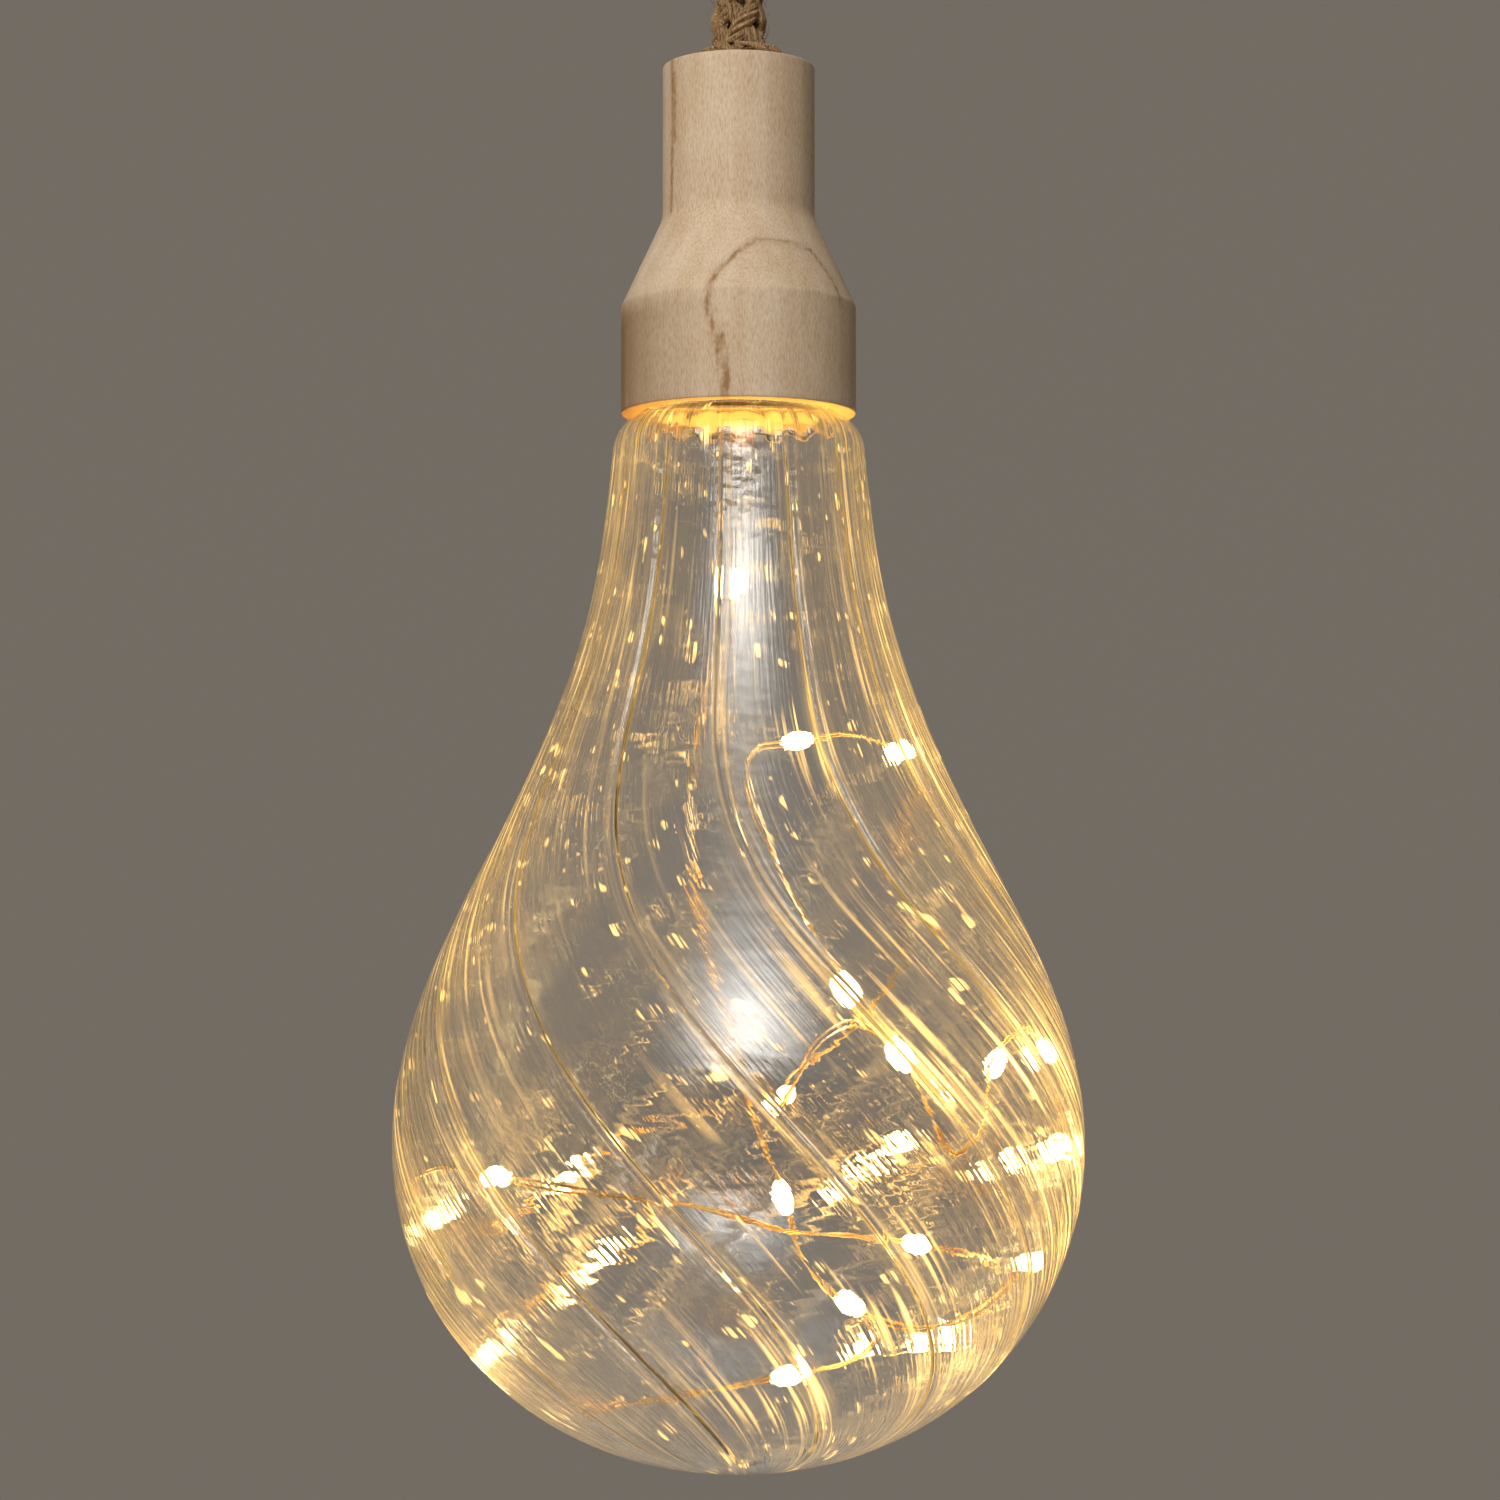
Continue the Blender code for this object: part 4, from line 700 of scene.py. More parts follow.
def make_lamps(course, marks, lit):
    """A resin drop for each lamp, all from one spun form, with a small light in its middle."""
    half = LED_LENGTH / 2
    stations = [math.sin(math.pi / 2 * t) for t in np.linspace(-1, 1, 15)]
    outline = [(LAMP_DROP_RADIUS * math.sqrt(1 - t ** 2), half * t) for t in stations]
    form = lathe("lamp_drop_form", outline, 20)
    glow = lamp_material()
    reach = round(half / WIRE_STEP) + 1
    for number, mark in enumerate(marks, start=1):
        k = round(mark / WIRE_STEP)
        first, last = Vector(course[max(k - reach, 0)]), Vector(course[min(k + reach, len(course) - 1)])
        middle = (first + last) / 2
        turned = (last - first).to_track_quat("Z", "Y").to_matrix().to_4x4()
        drop = copy_piece(form, f"lamp_drop_{number:02d}", Matrix.Translation(middle) @ turned)
        finish_piece(drop, glow, "lamp", replaced=(f"led_{number:02d}",))
        drop.visible_diffuse = False
        drop.visible_shadow = False
        add_glow(f"lamp_light_{number:02d}", middle, LAMP_POWER, LAMP_LIGHT_SIZE, LAMP_LIGHT, lit)
    bpy.data.objects.remove(form, do_unlink=True)


def add_light(name, kind, place, watts):
    """A light in its place, which isn't seen through the glass."""
    light = bpy.data.objects.new(name, bpy.data.lights.new(name, kind))
    bpy.context.scene.collection.objects.link(light)
    light.data.energy = watts
    light.location = place
    light.visible_transmission = False
    return light


def add_glow(name, place, watts, size, tint, lit=None):
    """A warm point of light. Given a collection, it lights only that."""
    light = add_light(name, "POINT", place, watts)
    light.data.color = colour(tint)[:3]
    light.data.shadow_soft_size = size
    light.light_linking.receiver_collection = lit
    return light


# Wooden pieces

LINE_REACH = 6 * MM            # distances from a growth line are stored up to this
DARK_PATCH_FROM = math.radians(-8)  # angle from the front where the darker patch on the skirt starts
DARK_PATCH_SPREAD = math.radians(70)
DARK_PATCH_TOP = 25 * MM
DARK_PATCH_FADE = 5 * MM
PLUG_LIP = 1.4 * MM
PLUG_HOLLOW = 12.5 * MM
PLUG_FLOOR = 4 * MM
WIRE_HOLE = 1 * MM
CUP_EDGE = 0.8 * MM
CUP_SCREW_HOLE = 2.3 * MM
CUP_SCREW_DROP = 9 * MM


def wood_material(name, growth_lines=False):
    """Pale maple, turned and sanded: close straight grain with short dark flecks and soft broad bands.
    On the cap a brown growth line shows where the turning cut through it."""
    made, tree, shader = new_material(name, "CDB797", 0.6, Specular_IOR_Level=0.3)
    place = add_node(tree, "ShaderNodeTexCoord")
    grain = add_node(tree, "ShaderNodeMapping", inputs={"Scale": (1, 1, 0.22)},
                     links={"Vector": place.outputs["Object"]})
    flecks = add_node(tree, "ShaderNodeTexNoise", inputs={"Scale": 1 / (0.3 * MM), "Detail": 2.0},
                      links={"Vector": grain.outputs["Vector"]})
    drawn = add_node(tree, "ShaderNodeMapping", inputs={"Scale": (1, 1, 0.04)},
                     links={"Vector": place.outputs["Object"]})
    bands = add_node(tree, "ShaderNodeTexNoise", inputs={"Scale": 1 / (4 * MM), "Detail": 3.0},
                     links={"Vector": drawn.outputs["Vector"]})
    clouds = add_node(tree, "ShaderNodeTexNoise", inputs={"Scale": 1 / (14 * MM), "Detail": 2.0},
                      links={"Vector": place.outputs["Object"]})
    fine = add_node(tree, "ShaderNodeValToRGB", links={"Fac": flecks.outputs["Fac"]},
                    stops=((0.30, "A3835F"), (0.45, "C8AD8C"), (0.62, "E0CAAE")))
    broad = add_node(tree, "ShaderNodeValToRGB", links={"Fac": bands.outputs["Fac"]},
                     stops=((0.34, "BC9A74"), (0.50, "D0B797"), (0.66, "E0CBB0")))
    patch = add_node(tree, "ShaderNodeValToRGB", links={"Fac": clouds.outputs["Fac"]},
                     stops=((0.35, "CBAC88"), (0.65, "DEC8AE")))
    tint = add_node(tree, "ShaderNodeMix", {"data_type": "RGBA"}, {"Factor": 0.42},
                    {"A": fine.outputs["Color"], "B": broad.outputs["Color"]})
    tint = add_node(tree, "ShaderNodeMix", {"data_type": "RGBA"}, {"Factor": 0.3},
                    {"A": tint.outputs["Result"], "B": patch.outputs["Color"]})
    if growth_lines:
        line = add_node(tree, "ShaderNodeAttribute", {"attribute_name": "growth_line"})
        wobble = add_node(tree, "ShaderNodeTexNoise", inputs={"Scale": 1 / (1.1 * MM), "Detail": 2.0},
                          links={"Vector": place.outputs["Object"]})
        moved = add_node(tree, "ShaderNodeMath", {"operation": "MULTIPLY_ADD"}, {1: 0.9 * MM},
                         {0: wobble.outputs["Fac"], 2: line.outputs["Fac"]})
        spread = add_node(tree, "ShaderNodeMath", {"operation": "DIVIDE"}, {1: LINE_REACH},
                          {0: moved.outputs["Value"]})
        stain = add_node(tree, "ShaderNodeValToRGB", links={"Fac": spread.outputs["Value"]},
                         stops=((0.09, "F4F4F4"), (0.14, "C8C8C8"), (0.20, "787878"), (0.35, "343434"),
                                (0.75, "000000")))
        tint = add_node(tree, "ShaderNodeMix", {"data_type": "RGBA"}, {"B": colour("8F6534")},
                        {"Factor": stain.outputs["Color"], "A": tint.outputs["Result"]})
        # Darker on the left of the skirt, as seen from the front.
        heart = add_node(tree, "ShaderNodeAttribute", {"attribute_name": "heartwood"})
        tint = add_node(tree, "ShaderNodeMix", {"data_type": "RGBA", "blend_type": "MULTIPLY"},
                        {"B": colour("B3A28A")},
                        {"Factor": heart.outputs["Fac"], "A": tint.outputs["Result"]})
    tree.links.new(tint.outputs["Result"], shader.inputs["Base Color"])
    bump = add_node(tree, "ShaderNodeBump", inputs={"Strength": 0.35, "Distance": 0.08 * MM},
                    links={"Height": flecks.outputs["Fac"]})
    tree.links.new(bump.outputs["Normal"], shader.inputs["Normal"])
    return made


# Growth lines on the cap: angle from the front in degrees and millimetres above its rim
GROWTH_LINES = (
    ((-7.8, 0.5), (-9.3, 9.2), (-12.5, 15.7), (-15.2, 19.8), (-13.4, 24.8), (-9.9, 27.8), (1.6, 32.6),
     (9.6, 34.5), (29.7, 34.6), (47, 34), (56, 28.4), (59, 22)),
    ((-7.3, 13.5), (-4.7, 4), (-6, 0)),
    ((-60, 80), (-59, 62), (-61, 43)),
    ((-56.5, 74), (-56, 58)),
)


def mark_growth_lines(cap):
    """Store how far each vertex of the cap lies from the nearest growth line, and how far into a
    darker patch on the left of the skirt, as seen from the front."""
    line = []
    for corners in GROWTH_LINES:
        for (a, low), (b, high) in zip(corners, corners[1:]):
            for k in range(30):
                line.append((math.radians(a + (b - a) * k / 30), (low + (high - low) * k / 30) * MM))
    line = np.array(line)
    distances, heart = [], []
    for vertex in cap.data.vertices:
        x, y, height = vertex.co
        radius = math.hypot(x, y)
        aside = (line[:, 0] - math.atan2(x, -y)) * radius
        above = line[:, 1] - (height - CAP_RIM_Z)
        distances.append(min(LINE_REACH, float(np.sqrt(aside ** 2 + above ** 2).min())))
        share = min(1, max(0, (DARK_PATCH_FROM - math.atan2(x, -y)) / DARK_PATCH_SPREAD))
        heart.append(share * min(1, max(0, (DARK_PATCH_TOP - height + CAP_RIM_Z) / DARK_PATCH_FADE)))
    store(cap, growth_line=distances, heartwood=heart)


def make_cap():
    """Turned cap: narrow on top, then a cone and a skirt, bored for the rope, its knot and the glass."""
    cone_top = CAP_TOP_Z - CAP_TOP_HEIGHT
    cone_foot = cone_top - CAP_CONE_HEIGHT
    socket_top = CAP_RIM_Z + SOCKET_DEPTH
    chamber_top = CAP_TOP_Z - KNOT_CHAMBER_DEPTH
    outline = rounded([
        (ROPE_BORE, CAP_TOP_Z, 0.5 * MM), (CAP_TOP_RADIUS, CAP_TOP_Z, 0.4 * MM),
        (CAP_TOP_RADIUS, cone_top, CAP_CONE_FILLET), (CAP_SKIRT_RADIUS, cone_foot, CAP_SKIRT_FILLET),
        (CAP_SKIRT_RADIUS, CAP_RIM_Z, 0.35 * MM), (SOCKET_RADIUS, CAP_RIM_Z, 0.5 * MM),
        (SOCKET_RADIUS, socket_top, 0), (KNOT_CHAMBER_RADIUS, socket_top, 0),
        (KNOT_CHAMBER_RADIUS, chamber_top, 0), (ROPE_BORE, chamber_top, 0),
    ])
    cap = lathe("turned_cap", refine(outline, 1.5 * MM), 144)
    mark_growth_lines(cap)
    finish_piece(cap, wood_material("turned maple with growth lines", growth_lines=True), "lamp",
                 replaced=("wooden_cap",))


def make_plug(wood):
    """Turned plug that closes the glass neck, level with the rim of the cap."""
    top, low = plug_high.z, plug_low.z
    body = GLASS_NECK_RADIUS - GLASS_WALL - SEAT_GAP
    outline = rounded([
        (PLUG_HOLLOW, top, 0), (plug_high.x, top, FINE_EDGE), (plug_high.x, top - PLUG_LIP, 0),
        (body, top - PLUG_LIP, 0), (body, low, 2 * FINE_EDGE), (WIRE_HOLE, low, FINE_EDGE),
        (WIRE_HOLE, low + PLUG_FLOOR, 0), (PLUG_HOLLOW, low + PLUG_FLOOR, 0),
    ], steps=3)
    plug = lathe("turned_plug", outline, 96)
    finish_piece(plug, wood, "lamp", replaced=("neck_plug",))


def make_rose(wood):
    """Turned cup against the ceiling, with a hole at each side for its screw."""
    inner = ROSE_RADIUS - ROSE_WALL
    hole = BUSH_RADIUS + SEAT_GAP
    outline = rounded([
        (inner, rose_high.z, CUP_EDGE), (ROSE_RADIUS, rose_high.z, CUP_EDGE),
        (ROSE_RADIUS, rose_low.z, ROSE_EDGE), (hole, rose_low.z, FINE_EDGE),
        (hole, FLOOR_Z, 0), (inner, FLOOR_Z, 1.5 * MM),
    ])
    cup = lathe("turned_rose", outline, 160)
    bpy.ops.mesh.primitive_cylinder_add(vertices=40, radius=CUP_SCREW_HOLE, depth=3 * ROSE_RADIUS,
                                        location=(0, 0, rose_high.z - CUP_SCREW_DROP),
                                        rotation=(0, math.pi / 2, 0))
    carve(cup, bpy.context.object)
    finish_piece(cup, wood, "rose", replaced=("rose_cup",))


# Rope

BRAID_LAY = 40 * MM
BRAID_STEP = 0.8 * MM
BRAID_RADIUS = 4.25 * MM
BRAID_WEAVE = 0.6 * MM
BRAID_OFFSET = 0.4             # radians that one way's strands start ahead of the other's
STRAND_YARNS = 5
STRAND_HALF_WIDTH = 1.35 * MM
STRAND_HALF_DEPTH = 0.62 * MM
YARN_LAY = 13 * MM
YARN_RADIUS = 0.74 * MM
LOOSE_FIBRES = 420
FIBRE_RADIUS = 0.045 * MM
FIBRE_REACH = 1.2 * MM
COLLAR_STRANDS = 16
COLLAR_YARNS = 4
COLLAR_FOOT = 6.2 * MM
COLLAR_YARN_RADIUS = 0.5 * MM
FRAYED_ENDS = 220
FRAYED_RADIUS = 0.05 * MM
KNOT_STRAND = 2.6 * MM         # radius of the rope as the knot draws it in


def jute_material():
    """Jute, retted and spun: dull bast fibre, tan with paler and darker hairs that run along the yarns."""
    made, tree, shader = new_material("spun jute yarn", "9C7C57", 0.85, Specular_IOR_Level=0.25)
    place = add_node(tree, "ShaderNodeTexCoord")
    grain = add_node(tree, "ShaderNodeMapping", inputs={"Scale": (1, 1, 0.3)},
                     links={"Vector": place.outputs["Object"]})
    hairs = add_node(tree, "ShaderNodeTexNoise", inputs={"Scale": 1 / (0.35 * MM), "Detail": 3.0},
                     links={"Vector": grain.outputs["Vector"]})
    lengths = add_node(tree, "ShaderNodeTexNoise", inputs={"Scale": 1 / (2.5 * MM), "Detail": 2.0},
                       links={"Vector": place.outputs["Object"]})
    fine = add_node(tree, "ShaderNodeValToRGB", links={"Fac": hairs.outputs["Fac"]},
                    stops=((0.34, "4E3519"), (0.48, "8F6E48"), (0.66, "C9AB84")))
    broad = add_node(tree, "ShaderNodeValToRGB", links={"Fac": lengths.outputs["Fac"]},
                     stops=((0.35, "73542F"), (0.65, "A98860")))
    tint = add_node(tree, "ShaderNodeMix", {"data_type": "RGBA"}, {"Factor": 0.4},
                    {"A": fine.outputs["Color"], "B": broad.outputs["Color"]})
    tree.links.new(tint.outputs["Result"], shader.inputs["Base Color"])
    bump = add_node(tree, "ShaderNodeBump", inputs={"Strength": 1.0, "Distance": 0.2 * MM},
                    links={"Height": hairs.outputs["Fac"]})
    tree.links.new(bump.outputs["Normal"], shader.inputs["Normal"])
    return made


def braid_yarns(foot, top):
    """Yarns of an eight strand braid: four strands wind each way, over and under, of a few yarns each."""
    paths = []
    count = round((top - foot) / BRAID_STEP)
    heights = np.linspace(foot, top, count + 1)
    for strand in range(8):
        way = 1 if strand % 2 else -1
        number = strand // 2
        angle = (way * FULL_TURN * (heights - foot) / BRAID_LAY + FULL_TURN * number / 4
                 + (BRAID_OFFSET if way > 0 else 0))
        weave = np.cos(2 * FULL_TURN * (heights - foot) / (BRAID_LAY / 2) + number * math.pi)
        radius = BRAID_RADIUS + way * BRAID_WEAVE * weave
        centre = np.column_stack([radius * np.cos(angle), radius * np.sin(angle), heights])
        along = side_vectors(centre)[0]
        out = centre * (1, 1, 0)
        out /= np.linalg.norm(out, axis=1)[:, None]
        aside = np.cross(along, out)
        for yarn in range(STRAND_YARNS):
            twist = FULL_TURN * (yarn / STRAND_YARNS + (heights - foot) / YARN_LAY)
            paths.append(centre + out * (STRAND_HALF_DEPTH * np.cos(twist))[:, None]
                         + aside * (STRAND_HALF_WIDTH * np.sin(twist))[:, None])
    return paths


def loose_fibres(count, foot, top, radius, reach):
    """Loose ends of fibre that stand off a round of rope."""
    paths = []
    for _ in range(count):
        angle = chance.uniform(0, FULL_TURN)
        height = chance.uniform(foot, top)
        lean = chance.uniform(-1.3, 1.3)
        length = chance.uniform(2, 6) * MM
        rise = chance.choice((-1, 1)) * length * chance.uniform(0.4, 1)
        off = chance.uniform(0.2, 1) * reach
        path = []
        for t in (0, 0.3, 0.6, 1):
            turn = angle + lean * t * length / radius
            out = radius - 0.8 * MM + (off + 0.8 * MM) * t ** 0.7
            path.append((out * math.cos(turn), out * math.sin(turn), min(max(height + rise * t, foot), top)))
        paths.append(path)
    return paths


def make_rope(jute):
    """The braid between the two knots, with its loose fibres: a cord held taut by the lamp's weight."""
    top, foot = rope_high.z, rope_low.z
    yarns = braid_yarns(foot, top)
    fibres = loose_fibres(LOOSE_FIBRES, foot, top, ROPE_DIAMETER / 2, FIBRE_REACH)
    radii = [YARN_RADIUS] * len(yarns) + [FIBRE_RADIUS] * len(fibres)
    rope = tubes("braided_rope", yarns + fibres, radii, 1)
    finish_piece(rope, jute, "lamp", replaced=("rope",))


def make_collar(jute):
    """Strands of the braid that bulge over the top of the cap before they go in, with frayed ends."""
    low = collar_low.z
    shares = np.linspace(0, 1, 9)
    paths, sizes = [], []
    for k in range(COLLAR_STRANDS):
        start = FULL_TURN * k / COLLAR_STRANDS + chance.uniform(-0.1, 0.1)
        lean = chance.choice((-1, 1)) * chance.uniform(0.25, 0.6)
        reach = chance.uniform(8.2, 11) * MM
        rise = chance.uniform(2.4, 3.4) * MM
        for yarn in range(COLLAR_YARNS):
            shift = (yarn - 1.5) * 0.08
            path = []
            for t in shares:
                turn = start + shift + lean * t
                out = COLLAR_FOOT + (reach - COLLAR_FOOT) * math.sin(math.pi * t * 0.62)
                height = low + COLLAR_YARN_RADIUS + rise * (1 - t ** 2)
                path.append((out * math.cos(turn), out * math.sin(turn), height))
            paths.append(path)
            sizes.append([COLLAR_YARN_RADIUS * (1 - 0.35 * t) for t in shares])
    for _ in range(FRAYED_ENDS):
        turn = chance.uniform(0, FULL_TURN)
        lean = chance.uniform(-1.2, 1.2)
        reach = chance.uniform(2, 6.5) * MM
        foot = chance.uniform(0.2, 2.2) * MM
        rise = chance.uniform(0.3, 1.8) * MM
        path = []
        for t in (0, 0.35, 0.7, 1):
            angle = turn + lean * t * 0.5
            out = ROPE_BORE + reach * t
            height = low + foot * (1 - 0.8 * t) + rise * math.sin(math.pi * t * 0.8)
            path.append((out * math.cos(angle), out * math.sin(angle), height))
        paths.append(path)
        sizes.append(FRAYED_RADIUS)
    collar = tubes("spread_strands", paths, sizes, 1)
    finish_piece(collar, jute, "lamp", replaced=("rope_collar",))


def make_knot(name, jute, centre, radius, squash, neck, node):
    """Stopper knot drawn up into a ball: three turns of rope laid round each of its three axes."""
    paths = []
    for axis in range(3):
        for k in (-1, 0, 1):
            lift = k * 1.75 * KNOT_STRAND
            ring = math.sqrt((radius - KNOT_STRAND) ** 2 - lift ** 2) * (1 - 0.02 * axis)
            for yarn in range(3):
                path = []
                for step in range(61):
                    turn = FULL_TURN * step / 60
                    twist = FULL_TURN * yarn / 3 + 9 * turn
                    out = ring + 0.45 * KNOT_STRAND * math.cos(twist)
                    height = lift + 0.45 * KNOT_STRAND * math.sin(twist)
                    spot = [out * math.cos(turn), out * math.sin(turn), height]
                    spot = spot[axis:] + spot[:axis]
                    path.append((spot[0], spot[1], centre + spot[2] * squash))
                paths.append(path)
    yarns = braid_yarns(*neck)
    radii = [0.52 * KNOT_STRAND] * len(paths) + [YARN_RADIUS] * len(yarns)
    knot = tubes(name, paths + yarns, radii, 1)
    finish_piece(knot, jute, "lamp", replaced=(node,))


# Fittings of the rose

SCREW_SHANK = ((0, 12), (1.3, 11.6), (2, 10.6), (2, 0))    # mm from the axis, and below the head
SCREW_HEAD_RADIUS = 4 * MM
SCREW_HEAD_HEIGHT = 2.2 * MM
SCREW_RECESS = (4.2 * MM, 0.8 * MM, 2.4 * MM)
BUSH_NOSE = 1 * MM             # how far the bush stands out of the rose's floor
BUSH_FLANGE_HEIGHT = 2 * MM
BUSH_CROWN = 3.1 * MM


def zinc_material():
    """Bright zinc plate on pressed steel: cool grey with a faint spangle and soft handling marks."""
    made, tree, shader = new_material("zinc plated steel", "B9BCC0", 0.35, Metallic=1.0)
    place = add_node(tree, "ShaderNodeTexCoord")
    spangle = add_node(tree, "ShaderNodeTexNoise", inputs={"Scale": 1 / (2.2 * MM), "Detail": 3.0},
                       links={"Vector": place.outputs["Object"]})
    tint = add_node(tree, "ShaderNodeValToRGB", links={"Fac": spangle.outputs["Fac"]},
                    stops=((0.35, "A4A8AD"), (0.65, "C8CACC")))
    tree.links.new(tint.outputs["Color"], shader.inputs["Base Color"])
    rough = add_node(tree, "ShaderNodeMapRange", inputs={"To Min": 0.26, "To Max": 0.46},
                     links={"Value": spangle.outputs["Fac"]})
    tree.links.new(rough.outputs["Result"], shader.inputs["Roughness"])
    return made


def brass_material():
    """Brass turned on a lathe and lacquered: warm yellow with fine rings left by the tool."""
    made, tree, shader = new_material("turned lacquered brass", "C9A14A", 0.3, Metallic=1.0)
    place = add_node(tree, "ShaderNodeTexCoord")
    flat = add_node(tree, "ShaderNodeVectorMath", {"operation": "MULTIPLY"}, {1: (1, 1, 0)},
                    {0: place.outputs["Object"]})
    radius = add_node(tree, "ShaderNodeVectorMath", {"operation": "LENGTH"},
                      links={0: flat.outputs["Vector"]})
    height = add_node(tree, "ShaderNodeSeparateXYZ", links={"Vector": place.outputs["Object"]})
    across = add_node(tree, "ShaderNodeMath", {"operation": "ADD"}, None,
                      {0: radius.outputs["Value"], 1: height.outputs["Z"]})
    rings = add_node(tree, "ShaderNodeTexNoise", {"noise_dimensions": "1D"}, {"Scale": 1 / (0.25 * MM)},
                     {"W": across.outputs["Value"]})
    tint = add_node(tree, "ShaderNodeValToRGB", links={"Fac": rings.outputs["Fac"]},
                    stops=((0.3, "B58C3C"), (0.7, "DDB961")))
    tree.links.new(tint.outputs["Color"], shader.inputs["Base Color"])
    bump = add_node(tree, "ShaderNodeBump", inputs={"Strength": 0.4, "Distance": 0.05 * MM},
                    links={"Height": rings.outputs["Fac"]})
    tree.links.new(bump.outputs["Normal"], shader.inputs["Normal"])
    return made


def moulded_material(name, dark, light, roughness):
    """Moulded plastic, with the fine spark-eroded grain of its tool and a slight mottle."""
    made, tree, shader = new_material(name, light, roughness)
    place = add_node(tree, "ShaderNodeTexCoord")
    mottle = add_node(tree, "ShaderNodeTexNoise", inputs={"Scale": 1 / (3 * MM), "Detail": 3.0},
                      links={"Vector": place.outputs["Object"]})
    grit = add_node(tree, "ShaderNodeTexNoise", inputs={"Scale": 1 / (0.2 * MM), "Detail": 1.0},
                    links={"Vector": place.outputs["Object"]})
    tint = add_node(tree, "ShaderNodeValToRGB", links={"Fac": mottle.outputs["Fac"]},
                    stops=((0.35, dark), (0.65, light)))
    tree.links.new(tint.outputs["Color"], shader.inputs["Base Color"])
    bump = add_node(tree, "ShaderNodeBump", inputs={"Strength": 0.3, "Distance": 0.05 * MM},
                    links={"Height": grit.outputs["Fac"]})
    tree.links.new(bump.outputs["Normal"], shader.inputs["Normal"])
    return made


def arc(radius, first, last, steps):
    """Points on an arc about the pivot; the angles are from straight down."""
    return [(radius * math.sin(first + (last - first) * k / steps),
             pivot.z - radius * math.cos(first + (last - first) * k / steps)) for k in range(steps + 1)]


def make_bush(brass):
    """Turned bush in the floor of the rose, with a flange on the floor and a seat for the washer."""
    foot = rose_low.z - BUSH_NOSE
    shelf = FLOOR_Z + SEAT_GAP
    ledge = shelf + BUSH_FLANGE_HEIGHT
    crown = SEAT_RADIUS * math.sin(SEAT_TOP) + BUSH_CROWN
    outline = rounded([
        (BUSH_MOUTH, foot, FINE_EDGE), (BUSH_RADIUS, foot, 0.6 * MM), (BUSH_RADIUS, shelf, 0),
        (BUSH_FLANGE, shelf, 0), (BUSH_FLANGE, ledge, FINE_EDGE), (crown, ledge, FINE_EDGE),
        (crown, pivot.z - SEAT_RADIUS * math.cos(SEAT_TOP), FINE_EDGE),
    ], steps=3)
    bush = lathe("turned_bush", outline + arc(SEAT_RADIUS, SEAT_TOP, SEAT_BOTTOM, 10), 128)
    finish_piece(bush, brass, "rose", replaced=("seat_bush",))


def make_swivel(zinc):
    """Dished washer that holds the knot and turns in the bush."""
    outline = (arc(SWIVEL_INNER, SWIVEL_BOTTOM, SWIVEL_TOP, 10)
               + arc(SWIVEL_OUTER, SWIVEL_TOP, SWIVEL_BOTTOM, 10))
    washer = lathe("dished_washer", outline, 96)
    finish_piece(washer, zinc, "swivel", replaced=("swivel_washer",))


def make_cup_screws(zinc):
    """Two pan head screws with a cross recess, one at each side of the rose."""
    outline = [(out * MM, -below * MM) for out, below in SCREW_SHANK] + [(SCREW_HEAD_RADIUS, 0)]
    outline += [(SCREW_HEAD_RADIUS * math.cos(t) ** 0.6, SCREW_HEAD_HEIGHT * math.sin(t))
                for t in np.linspace(0.25, 1.45, 8)]
    form = lathe("pan_head_form", outline + [(0, SCREW_HEAD_HEIGHT)], 48)
    for turn in (0, math.pi / 2):
        bpy.ops.mesh.primitive_cube_add(size=1, location=(0, 0, SCREW_HEAD_HEIGHT), rotation=(0, 0, turn),
                                        scale=SCREW_RECESS)
        carve(form, bpy.context.object)
    for name, node in (("left_cup_screw", "cup_screw_left"), ("right_cup_screw", "cup_screw_right")):
        low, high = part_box(node)
        side = 1 if high.x > 0 else -1
        seat = (high.x if side > 0 else low.x) - side * SCREW_HEAD_HEIGHT
        turned = Matrix.Rotation(side * math.pi / 2, 4, "Y")
        screw = copy_piece(form, name, Matrix.Translation((seat, 0, (low.z + high.z) / 2)) @ turned)
        finish_piece(screw, zinc, "rose", replaced=(node,))
    bpy.data.objects.remove(form, do_unlink=True)


def dress_fittings(zinc, brass):
    """Procedural finishes for the fittings whose construction shapes stay."""
    white = moulded_material("moulded white plastic", "DEDCD6", "ECEAE4", 0.4)
    brown = moulded_material("extruded brown lead sheath", "6A4328", "7B4F30", 0.35)
    blue = moulded_material("extruded blue lead sheath", "2F5F9A", "3B70B0", 0.35)
    silicone = moulded_material("moulded translucent silicone", "D9D6CC", "E6E3DA", 0.3)
    dress = {
        "ceiling_bracket": zinc, "knot_washer": zinc, "led_driver": white, "terminal_block": white,
        "supply_lead": white, "cap_lead": white, "splice_sleeve": white, "mains_lead_live": brown,
        "mains_lead_neutral": blue, "neck_seal": silicone,
    }
    dress.update({f"terminal_screw_{k}": brass for k in (1, 2, 3, 4)})
    for node, material in dress.items():
        for spot in frame["nodes"][node].material_slots:
            spot.material = material


# Stage and light

SWEEP_FLOOR_Z = -1.35
SWEEP_RADIUS = 1.9
SWEEP_BEND = 0.8
WALL_TONE = "6C665E"
FLOOR_TONE = "A39C92"
LAMP_MIDDLE = (0, 0, -0.25)
# Softboxes: name, place, size in metres, and watts
SOFTBOXES = (
    ("key_softbox", (-0.31, -0.99, 0.4), (0.45, 0.6), 11.2),
    ("left_softbox", (-1.1, -0.5, 0.1), (0.5, 0.9), 2),
    ("back_softbox", (0.05, 1.2, 0.25), (0.8, 0.8), 5),
)
CLOTH_PLACE = (0.061, -1.143, 0.747)
CLOTH_AIM = (0, 0.03, -0.33)
CLOTH_SIZE = (1.9, 1.16)
CLOTH_STRENGTH = 15.0
